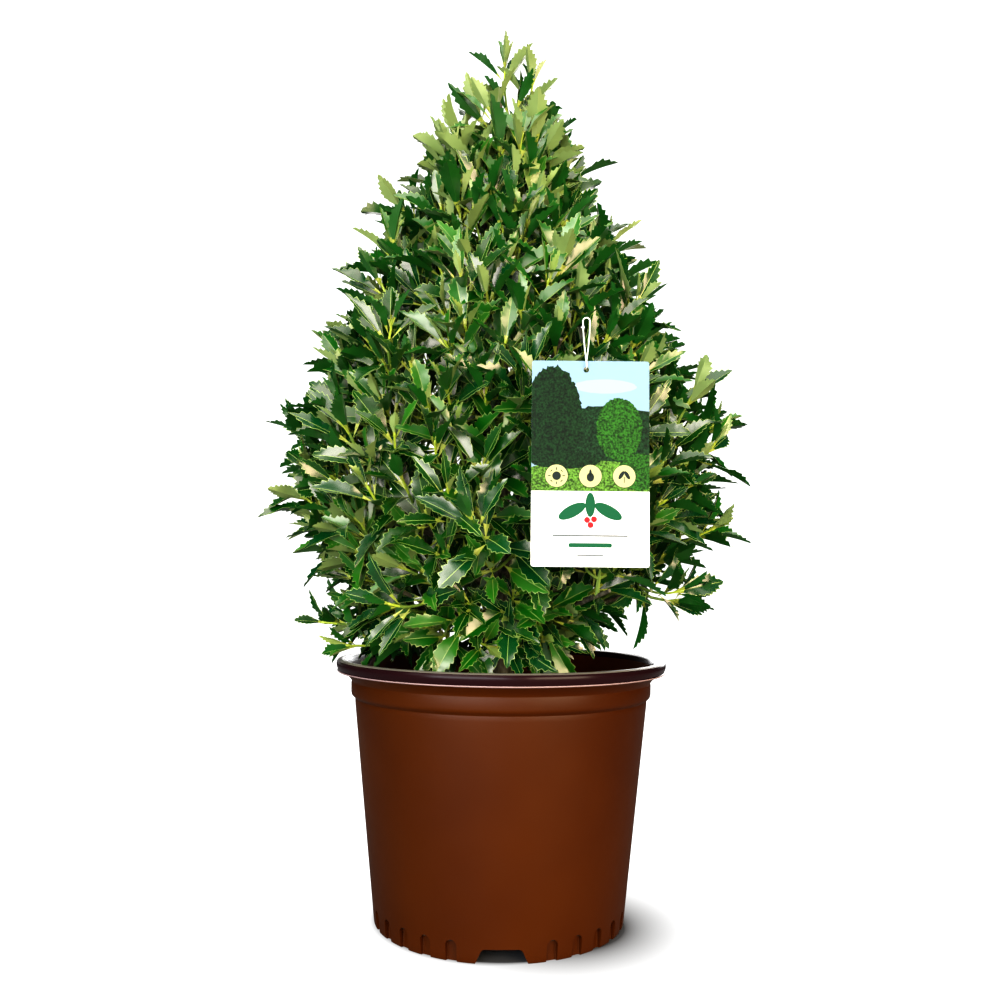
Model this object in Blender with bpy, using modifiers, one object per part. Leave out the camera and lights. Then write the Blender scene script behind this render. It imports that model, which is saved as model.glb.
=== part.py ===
"""Potted holly: a dense evergreen shrub in a round nursery pot, with a hang tag on one shoot.

Metres, +Z up. The origin is the centre of the circle that the pot stands on, and the crown grows round +Z.
The trunk, each bough and each mass of foliage is a solid of its own, 0.3 mm clear of what carries it.
"""

import math
import random

import bmesh
import bpy
from mathutils import Matrix, Vector
from mathutils.bvhtree import BVHTree

# Clearances
TOUCH_GAP = 0.0003
LEAF_CLEARANCE = 0.0012

# Pot, a thin moulded wall with a rolled lip, a collar and a fluted skirt under a raised floor
POT_HEIGHT = 0.2195
LIP_RADIUS = 0.1425
LIP_DEPTH = 0.0125
MOUTH_RADIUS = 0.1325
COLLAR_RADIUS = 0.1300
COLLAR_BOTTOM = 0.1850
BODY_TOP_RADIUS = 0.1262
FOOT_RADIUS = 0.1063
FOOT_WIDTH = 0.0060
WALL = 0.0022
FLOOR_UNDERSIDE = 0.0125
FLOOR_THICKNESS = 0.0025
TURN_STEPS = 48

NOTCH_TOP_WIDTH = 0.030
NOTCH_FOOT_WIDTH = 0.042
NOTCH_HEIGHT = 0.0115
NOTCH_AZIMUTHS = (271.3, 1.3, 91.3, 181.3)
FLUTE_OFFSETS = (21, 33, 45, 57, 69)
FLUTE_WIDTH = 0.0100
FLUTE_HEIGHT = 0.0145
FLUTE_DEPTH = 0.0024

# Potting mix
SOIL_LEVEL = 0.1945
SOIL_EDGE_DROP = 0.0025

# Trunk
TRUNK_TOP = 0.665
TRUNK_FOOT_RADIUS = 0.0095
TRUNK_TOP_RADIUS = 0.0022
FLARE = 0.0045
FLARE_HEIGHT = 0.022
LEAN = -0.005
SWAY = 0.003

# Crown: its outline as (height, radius), from the pot's mouth to the leading shoot
CROWN_OUTLINE = (
    (0.2225, 0.150),
    (0.262, 0.184),
    (0.325, 0.2150),
    (0.425, 0.2150),
    (0.492, 0.189),
    (0.530, 0.156),
    (0.600, 0.129),
    (0.680, 0.091),
    (0.745, 0.053),
    (0.791, 0.008),
)

# Tiers of foliage masses: name, height and radius of the masses' centres, how many, azimuth of the first,
# radius and depth below the centre where the bough's tip hands over to the mass's stem, rise of the bough,
# twigs of each stem
TIERS = (
    ("low", 0.270, 0.106, 5, 18, 0.054, 0.016, 0.018, 3),
    ("lower", 0.354, 0.128, 6, 36, 0.070, 0.026, 0.044, 4),
    ("middle", 0.450, 0.110, 5, 0, 0.056, 0.032, 0.046, 4),
    ("upper", 0.548, 0.075, 4, 70, 0.036, 0.032, 0.042, 4),
    ("high", 0.640, 0.046, 3, 100, 0.020, 0.034, 0.034, 3),
)
TOP_CENTRE_HEIGHT = 0.710
TOP_STEM_REACH = 0.030
TOP_TWIGS = 3
CORED_TIERS = ("low", "lower", "middle", "upper")
BOUGH_STAGGER = 0.009
BOUGH_TO_TRUNK = 0.42
BOUGH_TIP_SHARE = 0.62
BOUGH_STRAIGHT_END = 0.012

# Shoots and leaves
TARGETS = 600
SHOOT_SEED = 19
SHOOT_INSET = 0.044
SHOOT_SHORTEST = 0.018
STEM_INSET = 0.052
STEM_TIP_RADIUS = 0.0018
TWIG_RADIUS = 0.0022
TWIG_TIP_RADIUS = 0.0016
LEAF_LENGTH = 0.070
LEAF_WIDTH = 0.033
LEAF_THICKNESS = 0.0020
LEAF_ROOT = 0.0008
TERMINAL_ROOT = 0.0050
LEAF_SPACING = 0.0075
SIDE_LEAVES = 4
LEAF_TRIES = 30
CORE_RADIUS = 0.023
GOLDEN_ANGLE = math.radians(137.508)

# Hang tag on a loop of white plastic over one shoot of the front
TAG_WIDTH = 0.082
TAG_HEIGHT = 0.144
TAG_THICKNESS = 0.0006
TAG_CORNER = 0.0016
TAG_CENTRE_X = 0.0600
TAG_Y = -0.1885
TAG_TOP = 0.4415
TAG_HOLE_RADIUS = 0.0020
TAG_HOLE_DEPTH = 0.0062
LOOP_X = 0.0570
LOOP_RADIUS = 0.0025
LOOP_WIRE = 0.0005
LOOP_TOP = 0.4700
LOOP_ARC_STEPS = 6
TAG_SHOOT_RADIUS = 0.0015
TAG_SHOOT_PAST_LOOP = 0.009

POT_BROWN = (0.125, 0.029, 0.010)
MIX_BROWN = (0.020, 0.012, 0.008)
BARK_GREY = (0.110, 0.085, 0.055)
SHOOT_GREEN = (0.160, 0.180, 0.040)
LEAF_GREENS = ((0.012, 0.070, 0.014), (0.018, 0.088, 0.020), (0.030, 0.105, 0.022))
TAG_WHITE = (0.82, 0.83, 0.80)


def clear_scene():
    for old in list(bpy.data.objects):
        bpy.data.objects.remove(old, do_unlink=True)


def new_collection(name):
    collection = bpy.data.collections.new(name)
    bpy.context.scene.collection.children.link(collection)
    return collection


def new_material(name, colour, roughness, metallic=0.0):
    material = bpy.data.materials.new(name)
    material.use_nodes = True
    shader = material.node_tree.nodes["Principled BSDF"]
    shader.inputs["Base Color"].default_value = (*colour, 1.0)
    shader.inputs["Roughness"].default_value = roughness
    shader.inputs["Metallic"].default_value = metallic
    material.diffuse_color = (*colour, 1.0)
    return material


def new_object(name, mesh, collection, material=None):
    made = bpy.data.objects.new(name, mesh)
    collection.objects.link(made)
    if material is not None:
        mesh.materials.clear()
        mesh.materials.append(material)
    return made


def mesh_from(shape, name):
    mesh = bpy.data.meshes.new(name)
    shape.to_mesh(mesh)
    shape.free()
    return mesh


def evaluated_mesh(made, name):
    """A plain mesh of what an object shows with its modifiers or its bevel, with the object removed."""
    bpy.context.view_layer.update()
    graph = bpy.context.evaluated_depsgraph_get()
    mesh = bpy.data.meshes.new_from_object(made.evaluated_get(graph))
    mesh.name = name
    mesh.transform(made.matrix_world)
    bpy.data.objects.remove(made, do_unlink=True)
    return mesh


def weld(mesh, distance=1e-6):
    shape = bmesh.new()
    shape.from_mesh(mesh)
    bmesh.ops.remove_doubles(shape, verts=shape.verts, dist=distance)
    shape.to_mesh(mesh)
    shape.free()


def turned(name, profile, collection, material):
    """A solid of revolution round +Z from (radius, height) points that run top to bottom down the outside."""
    shape = bmesh.new()
    points = [shape.verts.new((radius, 0.0, height)) for radius, height in profile]
    for one, other in zip(points, points[1:]):
        shape.edges.new((one, other))
    made = new_object(name, mesh_from(shape, name), collection, material)
    screw = made.modifiers.new("Turn", "SCREW")
    screw.axis = "Z"
    screw.steps = TURN_STEPS
    screw.render_steps = TURN_STEPS
    screw.use_merge_vertices = True
    screw.merge_threshold = 0.0001
    return made


def polar(radius, azimuth, height):
    """A point from its radius, its azimuth in degrees and its height."""
    angle = math.radians(azimuth)
    return Vector((radius * math.cos(angle), radius * math.sin(angle), height))


def body_radius(height):
    """Outer radius of the pot's straight tapering wall."""
    return FOOT_RADIUS + (BODY_TOP_RADIUS - FOOT_RADIUS) * height / COLLAR_BOTTOM


def pot_profile():
    floor_top = FLOOR_UNDERSIDE + FLOOR_THICKNESS
    lip_bottom = POT_HEIGHT - LIP_DEPTH
    return [
        (0.0, floor_top),
        (body_radius(floor_top) - WALL, floor_top),
        (BODY_TOP_RADIUS - WALL, COLLAR_BOTTOM),
        (COLLAR_RADIUS - WALL, COLLAR_BOTTOM + 0.005),
        (MOUTH_RADIUS - 0.0025, POT_HEIGHT - 0.005),
        (MOUTH_RADIUS, POT_HEIGHT - 0.0006),
        (MOUTH_RADIUS + 0.0025, POT_HEIGHT),
        (LIP_RADIUS - 0.0020, POT_HEIGHT - 0.0012),
        (LIP_RADIUS, POT_HEIGHT - 0.0055),
        (LIP_RADIUS - 0.0012, lip_bottom),
        (COLLAR_RADIUS, lip_bottom - 0.0010),
        (COLLAR_RADIUS - 0.0006, COLLAR_BOTTOM + 0.0035),
        (BODY_TOP_RADIUS, COLLAR_BOTTOM),
        (body_radius(0.0015), 0.0015),
        (FOOT_RADIUS - 0.0010, 0.0),
        (FOOT_RADIUS - FOOT_WIDTH, 0.0),
        (FOOT_RADIUS - FOOT_WIDTH - 0.0008, FLOOR_UNDERSIDE),
        (0.0, FLOOR_UNDERSIDE),
    ]


def notch_cutter(azimuth, collection):
    """A block with sloping ends that opens the skirt, wider at the foot."""
    shape = bmesh.new()
    bmesh.ops.create_cube(shape, size=1.0)
    depth = 3 * FOOT_WIDTH
    for vert in shape.verts:
        top = vert.co.z > 0
        vert.co.x *= depth
        vert.co.y *= NOTCH_TOP_WIDTH if top else NOTCH_FOOT_WIDTH + 0.002
        vert.co.z = NOTCH_HEIGHT if top else -0.002
    turn = Matrix.Rotation(math.radians(azimuth), 4, "Z")
    bmesh.ops.transform(
        shape, matrix=turn @ Matrix.Translation((FOOT_RADIUS - FOOT_WIDTH / 2, 0, 0)), verts=shape.verts
    )
    return new_object("notch_cutter", mesh_from(shape, "notch_cutter"), collection)


def flute_cutter(azimuth, collection):
    """A flattened cylinder across the skirt: its upper half leaves an arched recess."""
    shape = bmesh.new()
    depth = 0.02
    bmesh.ops.create_cone(shape, cap_ends=True, segments=12, radius1=1.0, radius2=1.0, depth=depth)
    lying = Matrix.Rotation(math.radians(90), 4, "Y")
    size = Matrix.Diagonal((1.0, FLUTE_WIDTH / 2, FLUTE_HEIGHT, 1.0))
    turn = Matrix.Rotation(math.radians(azimuth), 4, "Z")
    reach = FOOT_RADIUS - FLUTE_DEPTH + depth / 2
    bmesh.ops.transform(
        shape, matrix=turn @ Matrix.Translation((reach, 0, 0)) @ size @ lying, verts=shape.verts
    )
    return new_object("flute_cutter", mesh_from(shape, "flute_cutter"), collection)


def boolean(made, operation, collection, solver="EXACT"):
    change = made.modifiers.new(operation.title(), "BOOLEAN")
    change.operation = operation
    change.operand_type = "COLLECTION"
    change.collection = collection
    change.solver = solver


def empty_out(collection):
    for made in list(collection.objects):
        bpy.data.objects.remove(made, do_unlink=True)


def build_pot(parts, cutters, material):
    pot = turned("pot", pot_profile(), parts, material)
    for notch in NOTCH_AZIMUTHS:
        notch_cutter(notch, cutters)
        for offset in FLUTE_OFFSETS:
            flute_cutter(notch + offset, cutters)
    for cutter in cutters.objects:
        cutter.hide_render = True
        cutter.display_type = "WIRE"
    boolean(pot, "DIFFERENCE", cutters)
    mesh = evaluated_mesh(pot, "pot")
    empty_out(cutters)
    made = new_object("pot", mesh, parts, material)
    mesh.shade_smooth()
    mesh.set_sharp_from_angle(angle=math.radians(30))
    return made


def build_soil(parts, material):
    floor_top = FLOOR_UNDERSIDE + FLOOR_THICKNESS
    edge_level = SOIL_LEVEL - SOIL_EDGE_DROP
    inner = COLLAR_RADIUS - WALL - TOUCH_GAP
    profile = [
        (0.0, SOIL_LEVEL),
        (0.040, SOIL_LEVEL),
        (inner, edge_level),
        (BODY_TOP_RADIUS - WALL - TOUCH_GAP, COLLAR_BOTTOM),
        (body_radius(floor_top) - WALL - TOUCH_GAP, floor_top + TOUCH_GAP),
        (0.0, floor_top + TOUCH_GAP),
    ]
    return turned("soil", profile, parts, material)


def trunk_point(height):
    """The trunk's axis: a slight lean with a gentle sway, upright where it leaves the soil."""
    share = max(0.0, (height - SOIL_LEVEL) / (TRUNK_TOP - SOIL_LEVEL))
    return Vector((LEAN * share**1.5, SWAY * share * math.sin(math.pi * min(share, 1.2)), height))


def trunk_radius(height):
    share = min(1.0, (height - SOIL_LEVEL) / (TRUNK_TOP - SOIL_LEVEL))
    taper = TRUNK_FOOT_RADIUS + (TRUNK_TOP_RADIUS - TRUNK_FOOT_RADIUS) * share
    return taper + FLARE * math.exp(-((height - SOIL_LEVEL) / FLARE_HEIGHT) * 2)


def limb_mesh(name, points, radii, sides):
    """A tapering tube through the points, with welded flat ends."""
    curve = bpy.data.curves.new(name, "CURVE")
    curve.dimensions = "3D"
    curve.bevel_depth = 1.0
    curve.bevel_resolution = (sides - 4) // 2
    curve.use_fill_caps = True
    spline = curve.splines.new("POLY")
    spline.points.add(len(points) - 1)
    for knot, place, radius in zip(spline.points, points, radii):
        knot.co = (*place, 1.0)
        knot.radius = radius
    tube = bpy.data.objects.new(name, curve)
    bpy.context.scene.collection.objects.link(tube)
    mesh = evaluated_mesh(tube, name)
    weld(mesh)
    bpy.data.curves.remove(curve)
    return mesh


def trunk_mesh(name, extra_radius=0.0, steps=14):
    foot = SOIL_LEVEL + TOUCH_GAP
    heights = [foot + FLARE_HEIGHT * part for part in (0, 0.25, 0.55, 1.0)]
    heights += [
        heights[-1] + (TRUNK_TOP - heights[-1]) * step / steps for step in range(1, steps + 1)
    ]
    points = [trunk_point(height) for height in heights]
    points[0].xy = points[1].xy
    return limb_mesh(name, points, [trunk_radius(height) + extra_radius for height in heights], 10)


def crown_radius(height):
    if height <= CROWN_OUTLINE[0][0]:
        return CROWN_OUTLINE[0][1]
    for (low, inner), (high, outer) in zip(CROWN_OUTLINE, CROWN_OUTLINE[1:]):
        if height <= high:
            return inner + (outer - inner) * (height - low) / (high - low)
    return CROWN_OUTLINE[-1][1]


class Mass:
    """One mass of foliage: its centre, the foot and direction of its stem, and its bough's route."""

    def __init__(self, name, centre, foot, twigs, bough_start=None):
        self.name = name
        self.twigs = twigs
        self.centre = centre
        self.foot = foot
        self.direction = (centre - foot).normalized()
        self.bough_start = bough_start
        self.tip = self.stem_tip()

    def stem_tip(self):
        """Where the stem ends, a leaf's length inside the crown's outline."""
        tip = self.centre.copy()
        step = self.direction * 0.004
        for _ in range(40):
            onward = tip + step
            axis = trunk_point(onward.z)
            if (onward - axis).length > crown_radius(onward.z) - STEM_INSET or onward.z > 0.70:
                break
            tip = onward
        return tip


def plan_masses():
    masses = []
    for tier, height, radius, count, first, foot_radius, foot_drop, rise, twigs in TIERS:
        for index in range(count):
            azimuth = first + 360 / count * index
            axis = trunk_point(height)
            axis.z = 0
            centre = axis + polar(radius, azimuth, height)
            foot = axis + polar(foot_radius, azimuth, height - foot_drop)
            stagger = BOUGH_STAGGER * (index % 2)
            start = foot.z - rise - stagger
            masses.append(Mass(f"{tier}_{index + 1}", centre, foot, twigs, start))
    top_foot = trunk_point(TRUNK_TOP)
    top = Mass("top", trunk_point(TOP_CENTRE_HEIGHT), top_foot, TOP_TWIGS)
    last = trunk_point(TRUNK_TOP) - trunk_point(TRUNK_TOP - 0.02)
    top.direction = last.normalized()
    top.centre = top_foot + top.direction * (TOP_CENTRE_HEIGHT - TRUNK_TOP)
    top.tip = top.centre + top.direction * TOP_STEM_REACH
    top.stem_radius = TRUNK_TOP_RADIUS
    masses.append(top)
    return masses


def bough_route(mass):
    """A bough's points and radii: out from the trunk's axis, turning up into the mass's own direction."""
    start = trunk_point(mass.bough_start)
    end_start = mass.foot - mass.direction * BOUGH_STRAIGHT_END
    outward = Vector((end_start.x - start.x, end_start.y - start.y, 0)).normalized()
    span = (end_start - start).length
    bend = start + (outward + Vector((0, 0, 0.35))).normalized() * span * 0.55
    points = []
    for step in range(5):
        t = step / 4
        points.append(start * (1 - t) ** 2 + bend * 2 * t * (1 - t) + end_start * t * t)
    points.append(mass.foot.copy())
    base = trunk_radius(mass.bough_start) * BOUGH_TO_TRUNK
    tip = max(base * BOUGH_TIP_SHARE, TWIG_RADIUS + 0.0002)
    radii = [base + (tip - base) * step / (len(points) - 1) for step in range(len(points))]
    return points, radii


def build_boughs(masses, parts, cutters, material):
    """Each bough starts inside the trunk and is cut back to just clear of its bark."""
    trunk_guard = new_object("trunk_cutter", trunk_mesh("trunk_cutter", TOUCH_GAP), cutters)
    trunk_guard.hide_render = True
    trunk_guard.display_type = "WIRE"
    for mass in masses:
        if mass.bough_start is None:
            continue
        points, radii = bough_route(mass)
        mass.stem_radius = radii[-1]
        name = f"bough_{mass.name}"
        bough = new_object(name, limb_mesh(name, points, radii, 6), parts)
        boolean(bough, "DIFFERENCE", cutters)
        mesh = evaluated_mesh(bough, name)
        mesh = largest_island(mesh)
        new_object(name, mesh, parts, material).data.shade_smooth()
    empty_out(cutters)


def island_volume(faces):
    total = 0.0
    for face in faces:
        corners = [loop.vert.co for loop in face.loops]
        for one, other in zip(corners[1:], corners[2:]):
            total += corners[0].dot(one.cross(other)) / 6
    return total


def largest_island(mesh):
    """Keeps the body of greatest volume: loose scraps go, and so does the skin of a sealed hollow."""
    shape = bmesh.new()
    shape.from_mesh(mesh)
    bmesh.ops.remove_doubles(shape, verts=shape.verts, dist=1e-6)
    left = set(shape.faces)
    islands = []
    while left:
        waiting = [left.pop()]
        island = list(waiting)
        while waiting:
            for edge in waiting.pop().edges:
                for face in edge.link_faces:
                    if face in left:
                        left.remove(face)
                        waiting.append(face)
                        island.append(face)
        islands.append(island)
    islands.sort(key=island_volume)
    scraps = [face for island in islands[:-1] for face in island]
    bmesh.ops.delete(shape, geom=scraps, context="FACES")
    loose = [vert for vert in shape.verts if not vert.link_faces]
    bmesh.ops.delete(shape, geom=loose, context="VERTS")
    shape.to_mesh(mesh)
    shape.free()
    return mesh


def cone_between(shape, start, end, start_radius, end_radius, sides):
    """Adds a tapering prism from one point to another, one edge of it uppermost."""
    along = end - start
    turn = Vector((0, 0, 1)).rotation_difference(along).to_matrix().to_4x4()
    place = Matrix.Translation((start + end) / 2) @ turn
    bmesh.ops.create_cone(
        shape,
        cap_ends=True,
        segments=sides,
        radius1=start_radius,
        radius2=end_radius,
        depth=along.length,
        matrix=place,
    )


def build_guard(masses):
    """What leaves and twigs stay clear of: every limb, a little thicker, with the tag and its loop."""
    shape = bmesh.new()
    heights = [SOIL_LEVEL + (TRUNK_TOP - SOIL_LEVEL) * step / 12 for step in range(13)]
    for low, high in zip(heights, heights[1:]):
        near = trunk_radius(low) + LEAF_CLEARANCE
        far = trunk_radius(high) + LEAF_CLEARANCE
        cone_between(shape, trunk_point(low), trunk_point(high), near, far, 8)
    for mass in masses:
        if mass.bough_start is None:
            continue
        points, radii = bough_route(mass)
        for start, end, near, far in zip(points, points[1:], radii, radii[1:]):
            cone_between(shape, start, end, near + LEAF_CLEARANCE, far + LEAF_CLEARANCE, 6)
    for low, high in kept_boxes():
        size = Matrix.Diagonal((*(high - low), 1.0))
        bmesh.ops.create_cube(shape, size=1.0, matrix=Matrix.Translation((low + high) / 2) @ size)
    tree = BVHTree.FromBMesh(shape)
    shape.free()
    return tree


def kept_boxes():
    """The spaces kept for the tag and for its loop, as low and high corners."""
    half = TAG_WIDTH / 2 + LEAF_CLEARANCE
    front = TAG_Y - 0.03
    side = LOOP_RADIUS + LOOP_WIRE + LEAF_CLEARANCE
    bottom = TAG_TOP - TAG_HEIGHT - LEAF_CLEARANCE
    tag = (
        Vector((TAG_CENTRE_X - half, front, bottom)),
        Vector((TAG_CENTRE_X + half, TAG_Y + TAG_THICKNESS + LEAF_CLEARANCE, TAG_TOP + LEAF_CLEARANCE)),
    )
    loop = (
        Vector((LOOP_X - side, front, loop_bottom() - side)),
        Vector((LOOP_X + side, TAG_Y + side, LOOP_TOP + side)),
    )
    return (tag, loop)


def in_kept_box(point):
    for low, high in kept_boxes():
        if all(low[axis] < point[axis] < high[axis] for axis in range(3)):
            return True
    return False


def in_own_space(point, mass, masses):
    """Inside the crown's outline and nearer to this mass's centre than to any other's."""
    if not CROWN_OUTLINE[0][0] < point.z < CROWN_OUTLINE[-1][0]:
        return False
    if (point - trunk_point(point.z)).length > crown_radius(point.z) or in_kept_box(point):
        return False
    for other in masses:
        if other is mass:
            continue
        across = (other.centre - mass.centre).normalized()
        if (point - (other.centre + mass.centre) / 2).dot(across) > -LEAF_CLEARANCE / 2:
            return False
    return True


def fits(tree, shape, mass, masses, guard, taken=()):
    """True where every corner keeps to the mass's space and no face meets a limb, the tag or what is there."""
    if not all(in_own_space(vert.co, mass, masses) for vert in shape.verts):
        return False
    return not tree.overlap(guard) and not any(tree.overlap(other) for other in taken)


def surface_targets():
    """Even places for the shoots' ends over the crown's surface, on a golden-angle spiral."""
    draw = random.Random(SHOOT_SEED)
    bottom, top = CROWN_OUTLINE[0][0], CROWN_OUTLINE[-1][0]
    slices = 400
    heights = [bottom + (top - bottom) * (step + 0.5) / slices for step in range(slices)]
    total = sum(crown_radius(height) + 0.02 for height in heights)
    targets = []
    reached = 0.0
    for height in heights:
        reached += crown_radius(height) + 0.02
        while len(targets) < TARGETS and total * (len(targets) + 0.5) / TARGETS <= reached:
            place = min(max(height, bottom + 0.026), top - 0.045)
            angle = len(targets) * GOLDEN_ANGLE + draw.uniform(-0.05, 0.05)
            radius = max(0.004, crown_radius(place) - SHOOT_INSET - draw.uniform(0.0, 0.012))
            outward = Vector((math.cos(angle), math.sin(angle), 0))
            targets.append(trunk_point(place) + outward * radius)
    return targets


def leaf_shape(root, direction, facing, length):
    """An eight-faced leaf whose root end lies at a point, along a direction, its top towards facing."""
    shape = bmesh.new()
    bmesh.ops.create_uvsphere(shape, u_segments=4, v_segments=2, radius=1.0)
    side = facing.cross(direction).normalized()
    top = direction.cross(side).normalized()
    turn = Matrix((direction, side, top)).transposed().to_4x4()
    width = LEAF_WIDTH * length / LEAF_LENGTH
    size = Matrix.Diagonal((length / 2, width / 2, LEAF_THICKNESS / 2, 1.0))
    middle = root + direction * (length / 2)
    bmesh.ops.transform(shape, matrix=Matrix.Translation(middle) @ turn @ size, verts=shape.verts)
    return shape


def leaf_direction(along, azimuth, spread, lift):
    """A leaf's direction: spread away from the shoot, round it by an azimuth, and lifted a little."""
    across = along.orthogonal().normalized()
    away = across * math.cos(azimuth) + along.cross(across) * math.sin(azimuth)
    direction = along * math.cos(spread) + away * math.sin(spread)
    direction.z += lift
    return direction.normalized()


def lift_at(height):
    """How much the leaves lift: down over the pot's rim at the foot of the crown, up towards its top."""
    return -0.45 + 0.95 * min(1.0, max(0.0, (height - 0.24) / 0.16))


def grow_leaf(root_point, along, azimuth, spreads, root_depth, mass, masses, guard, taken, draw):
    """Tries a few directions for a leaf at a point of a shoot, ever shorter, and returns the first that fits."""
    outward = (mass.centre - trunk_point(mass.centre.z)) + (root_point - mass.centre)
    outward = outward.normalized()
    for attempt in range(LEAF_TRIES):
        spread = math.radians(draw.uniform(*spreads))
        turn = azimuth + draw.uniform(-0.3, 0.3) * (1 + attempt / 3)
        direction = leaf_direction(along, turn, spread, lift_at(root_point.z))
        length = LEAF_LENGTH * (1.06 - 0.40 * attempt / LEAF_TRIES)
        facing = Vector((0, 0, 1)) + outward * 0.9
        if facing.cross(direction).length < 0.3:
            facing = outward.cross(direction).cross(direction)
        shape = leaf_shape(root_point - direction * root_depth, direction, facing, length)
        tree = BVHTree.FromBMesh(shape)
        if fits(tree, shape, mass, masses, guard, taken):
            return shape, tree
        shape.free()
    return None


def nearest_mass(point, masses):
    return min(masses, key=lambda mass: (mass.centre - point).length)


def twig_start(mass, target):
    """Where a twig leaves the stem: below its target, so that it rises at about 45 degrees."""
    stem = mass.tip - mass.foot
    along = (target - mass.foot).dot(mass.direction)
    beside = (target - mass.foot - mass.direction * along).length
    share = (along - beside) / stem.length
    return mass.foot + stem * min(0.92, max(0.20, share))


def core_shape(mass, masses, guard):
    """A small faceted core on the stem, as large as its space allows."""
    if not mass.name.startswith(CORED_TIERS):
        return None
    for share in (1.0, 0.8, 0.6):
        shape = bmesh.new()
        place = Matrix.Translation(mass.centre) @ Matrix.Diagonal((1.0, 1.0, 1.2, 1.0))
        bmesh.ops.create_icosphere(shape, subdivisions=1, radius=CORE_RADIUS * share, matrix=place)
        if fits(BVHTree.FromBMesh(shape), shape, mass, masses, guard):
            return shape
        shape.free()
    return None


def choose_twigs(mass, targets, masses, guard):
    """The mass's twigs as (start, end, shape): those that fit, each as far from the others as can be."""
    fitting = []
    for target in targets:
        start = twig_start(mass, target)
        if (target - start).length < SHOOT_SHORTEST:
            continue
        twig = bmesh.new()
        cone_between(twig, start, target, TWIG_RADIUS, TWIG_TIP_RADIUS, 3)
        if fits(BVHTree.FromBMesh(twig), twig, mass, masses, guard):
            fitting.append((start, target, twig))
        else:
            twig.free()
    ends = [mass.tip]
    chosen = []
    while fitting and len(chosen) < mass.twigs:
        best = max(fitting, key=lambda twig: min((twig[1] - end).length for end in ends))
        fitting.remove(best)
        chosen.append(best)
        ends.append(best[1])
    for _, _, twig in fitting:
        twig.free()
    return chosen


def leaf_plans(shoots, draw):
    """Every leaf's place on its shoot: first all the terminal leaves, then each shoot's side leaves in turn."""
    plans = []
    for own, (start, end) in enumerate(shoots):
        along = (end - start).normalized()
        first = draw.uniform(0, math.tau)
        plans.append((0, end, along, first, (2, 26), TERMINAL_ROOT, own))
        places = min(SIDE_LEAVES, int(((end - start).length - 0.010) / LEAF_SPACING))
        for index in range(places):
            point = end - along * LEAF_SPACING * (index + 0.8)
            azimuth = first + index * GOLDEN_ANGLE
            plans.append((index + 1, point, along, azimuth, (40, 72), LEAF_ROOT, own))
    plans.sort(key=lambda plan: plan[0])
    return [plan[1:] for plan in plans]


def mass_shapes(mass, targets, masses, guard, draw):
    """Stem, core, twigs and leaves of one mass, each a closed shape of its own."""
    stem = bmesh.new()
    foot = mass.foot + mass.direction * TOUCH_GAP
    cone_between(stem, foot, mass.tip, mass.stem_radius, STEM_TIP_RADIUS, 3)
    twigs = choose_twigs(mass, targets, masses, guard)
    woods = [stem] + [twig for _, _, twig in twigs]
    shoots = [(mass.foot.lerp(mass.tip, 0.4), mass.tip)] + [twig[:2] for twig in twigs]
    if mass is tag_mass(masses):
        start, end = tag_shoot(mass)
        twig = bmesh.new()
        cone_between(twig, start, end, TAG_SHOOT_RADIUS, TAG_SHOOT_RADIUS, 3)
        woods.append(twig)
    core = core_shape(mass, masses, guard)
    leaves = []
    if mass.name == "top":
        root = mass.tip - mass.direction * TERMINAL_ROOT
        leaves.append(leaf_shape(root, mass.direction, Vector((0, -1, 0)), CROWN_OUTLINE[-1][0] - root.z))
    wood_trees = [BVHTree.FromBMesh(wood) for wood in woods]
    others = [BVHTree.FromBMesh(shape) for shape in leaves + ([core] if core else [])]
    for point, along, azimuth, spreads, root_depth, own in leaf_plans(shoots, draw):
        taken = others + [tree for index, tree in enumerate(wood_trees) if index != own]
        grown = grow_leaf(point, along, azimuth, spreads, root_depth, mass, masses, guard, taken, draw)
        if grown is not None:
            leaves.append(grown[0])
            others.append(grown[1])
    return woods + ([core] if core else []) + leaves, len(leaves)


def fuse(name, shapes, parts, pieces, material):
    """Joins the shapes of a mass into one body and keeps the largest island."""
    body = new_object(name, mesh_from(shapes[0], name), parts)
    for index, shape in enumerate(shapes[1:]):
        new_object(f"piece_{index}", mesh_from(shape, "piece"), pieces)
    boolean(body, "UNION", pieces)
    mesh = evaluated_mesh(body, name)
    empty_out(pieces)
    return new_object(name, largest_island(mesh), parts, material)


def tag_mass(masses):
    """The mass whose space holds the shoot that the tag hangs from."""
    return nearest_mass(Vector((LOOP_X, TAG_Y, LOOP_TOP)), masses)


def tag_shoot(mass):
    """The shoot that carries the loop, from the mass's stem to just past the loop."""
    start = twig_start(mass, Vector((LOOP_X, TAG_Y, LOOP_TOP)))
    past = (Vector((LOOP_X, TAG_Y, LOOP_TOP)) - start).normalized() * TAG_SHOOT_PAST_LOOP
    return start, Vector((LOOP_X, TAG_Y, LOOP_TOP)) + past


def loop_bottom():
    """Height of the centre of the loop's lower bend, whose wire passes through the tag's hole."""
    hole = TAG_TOP - TAG_HOLE_DEPTH
    wire = hole + TAG_HOLE_RADIUS - LOOP_WIRE - TOUCH_GAP
    return wire + LOOP_RADIUS


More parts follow.
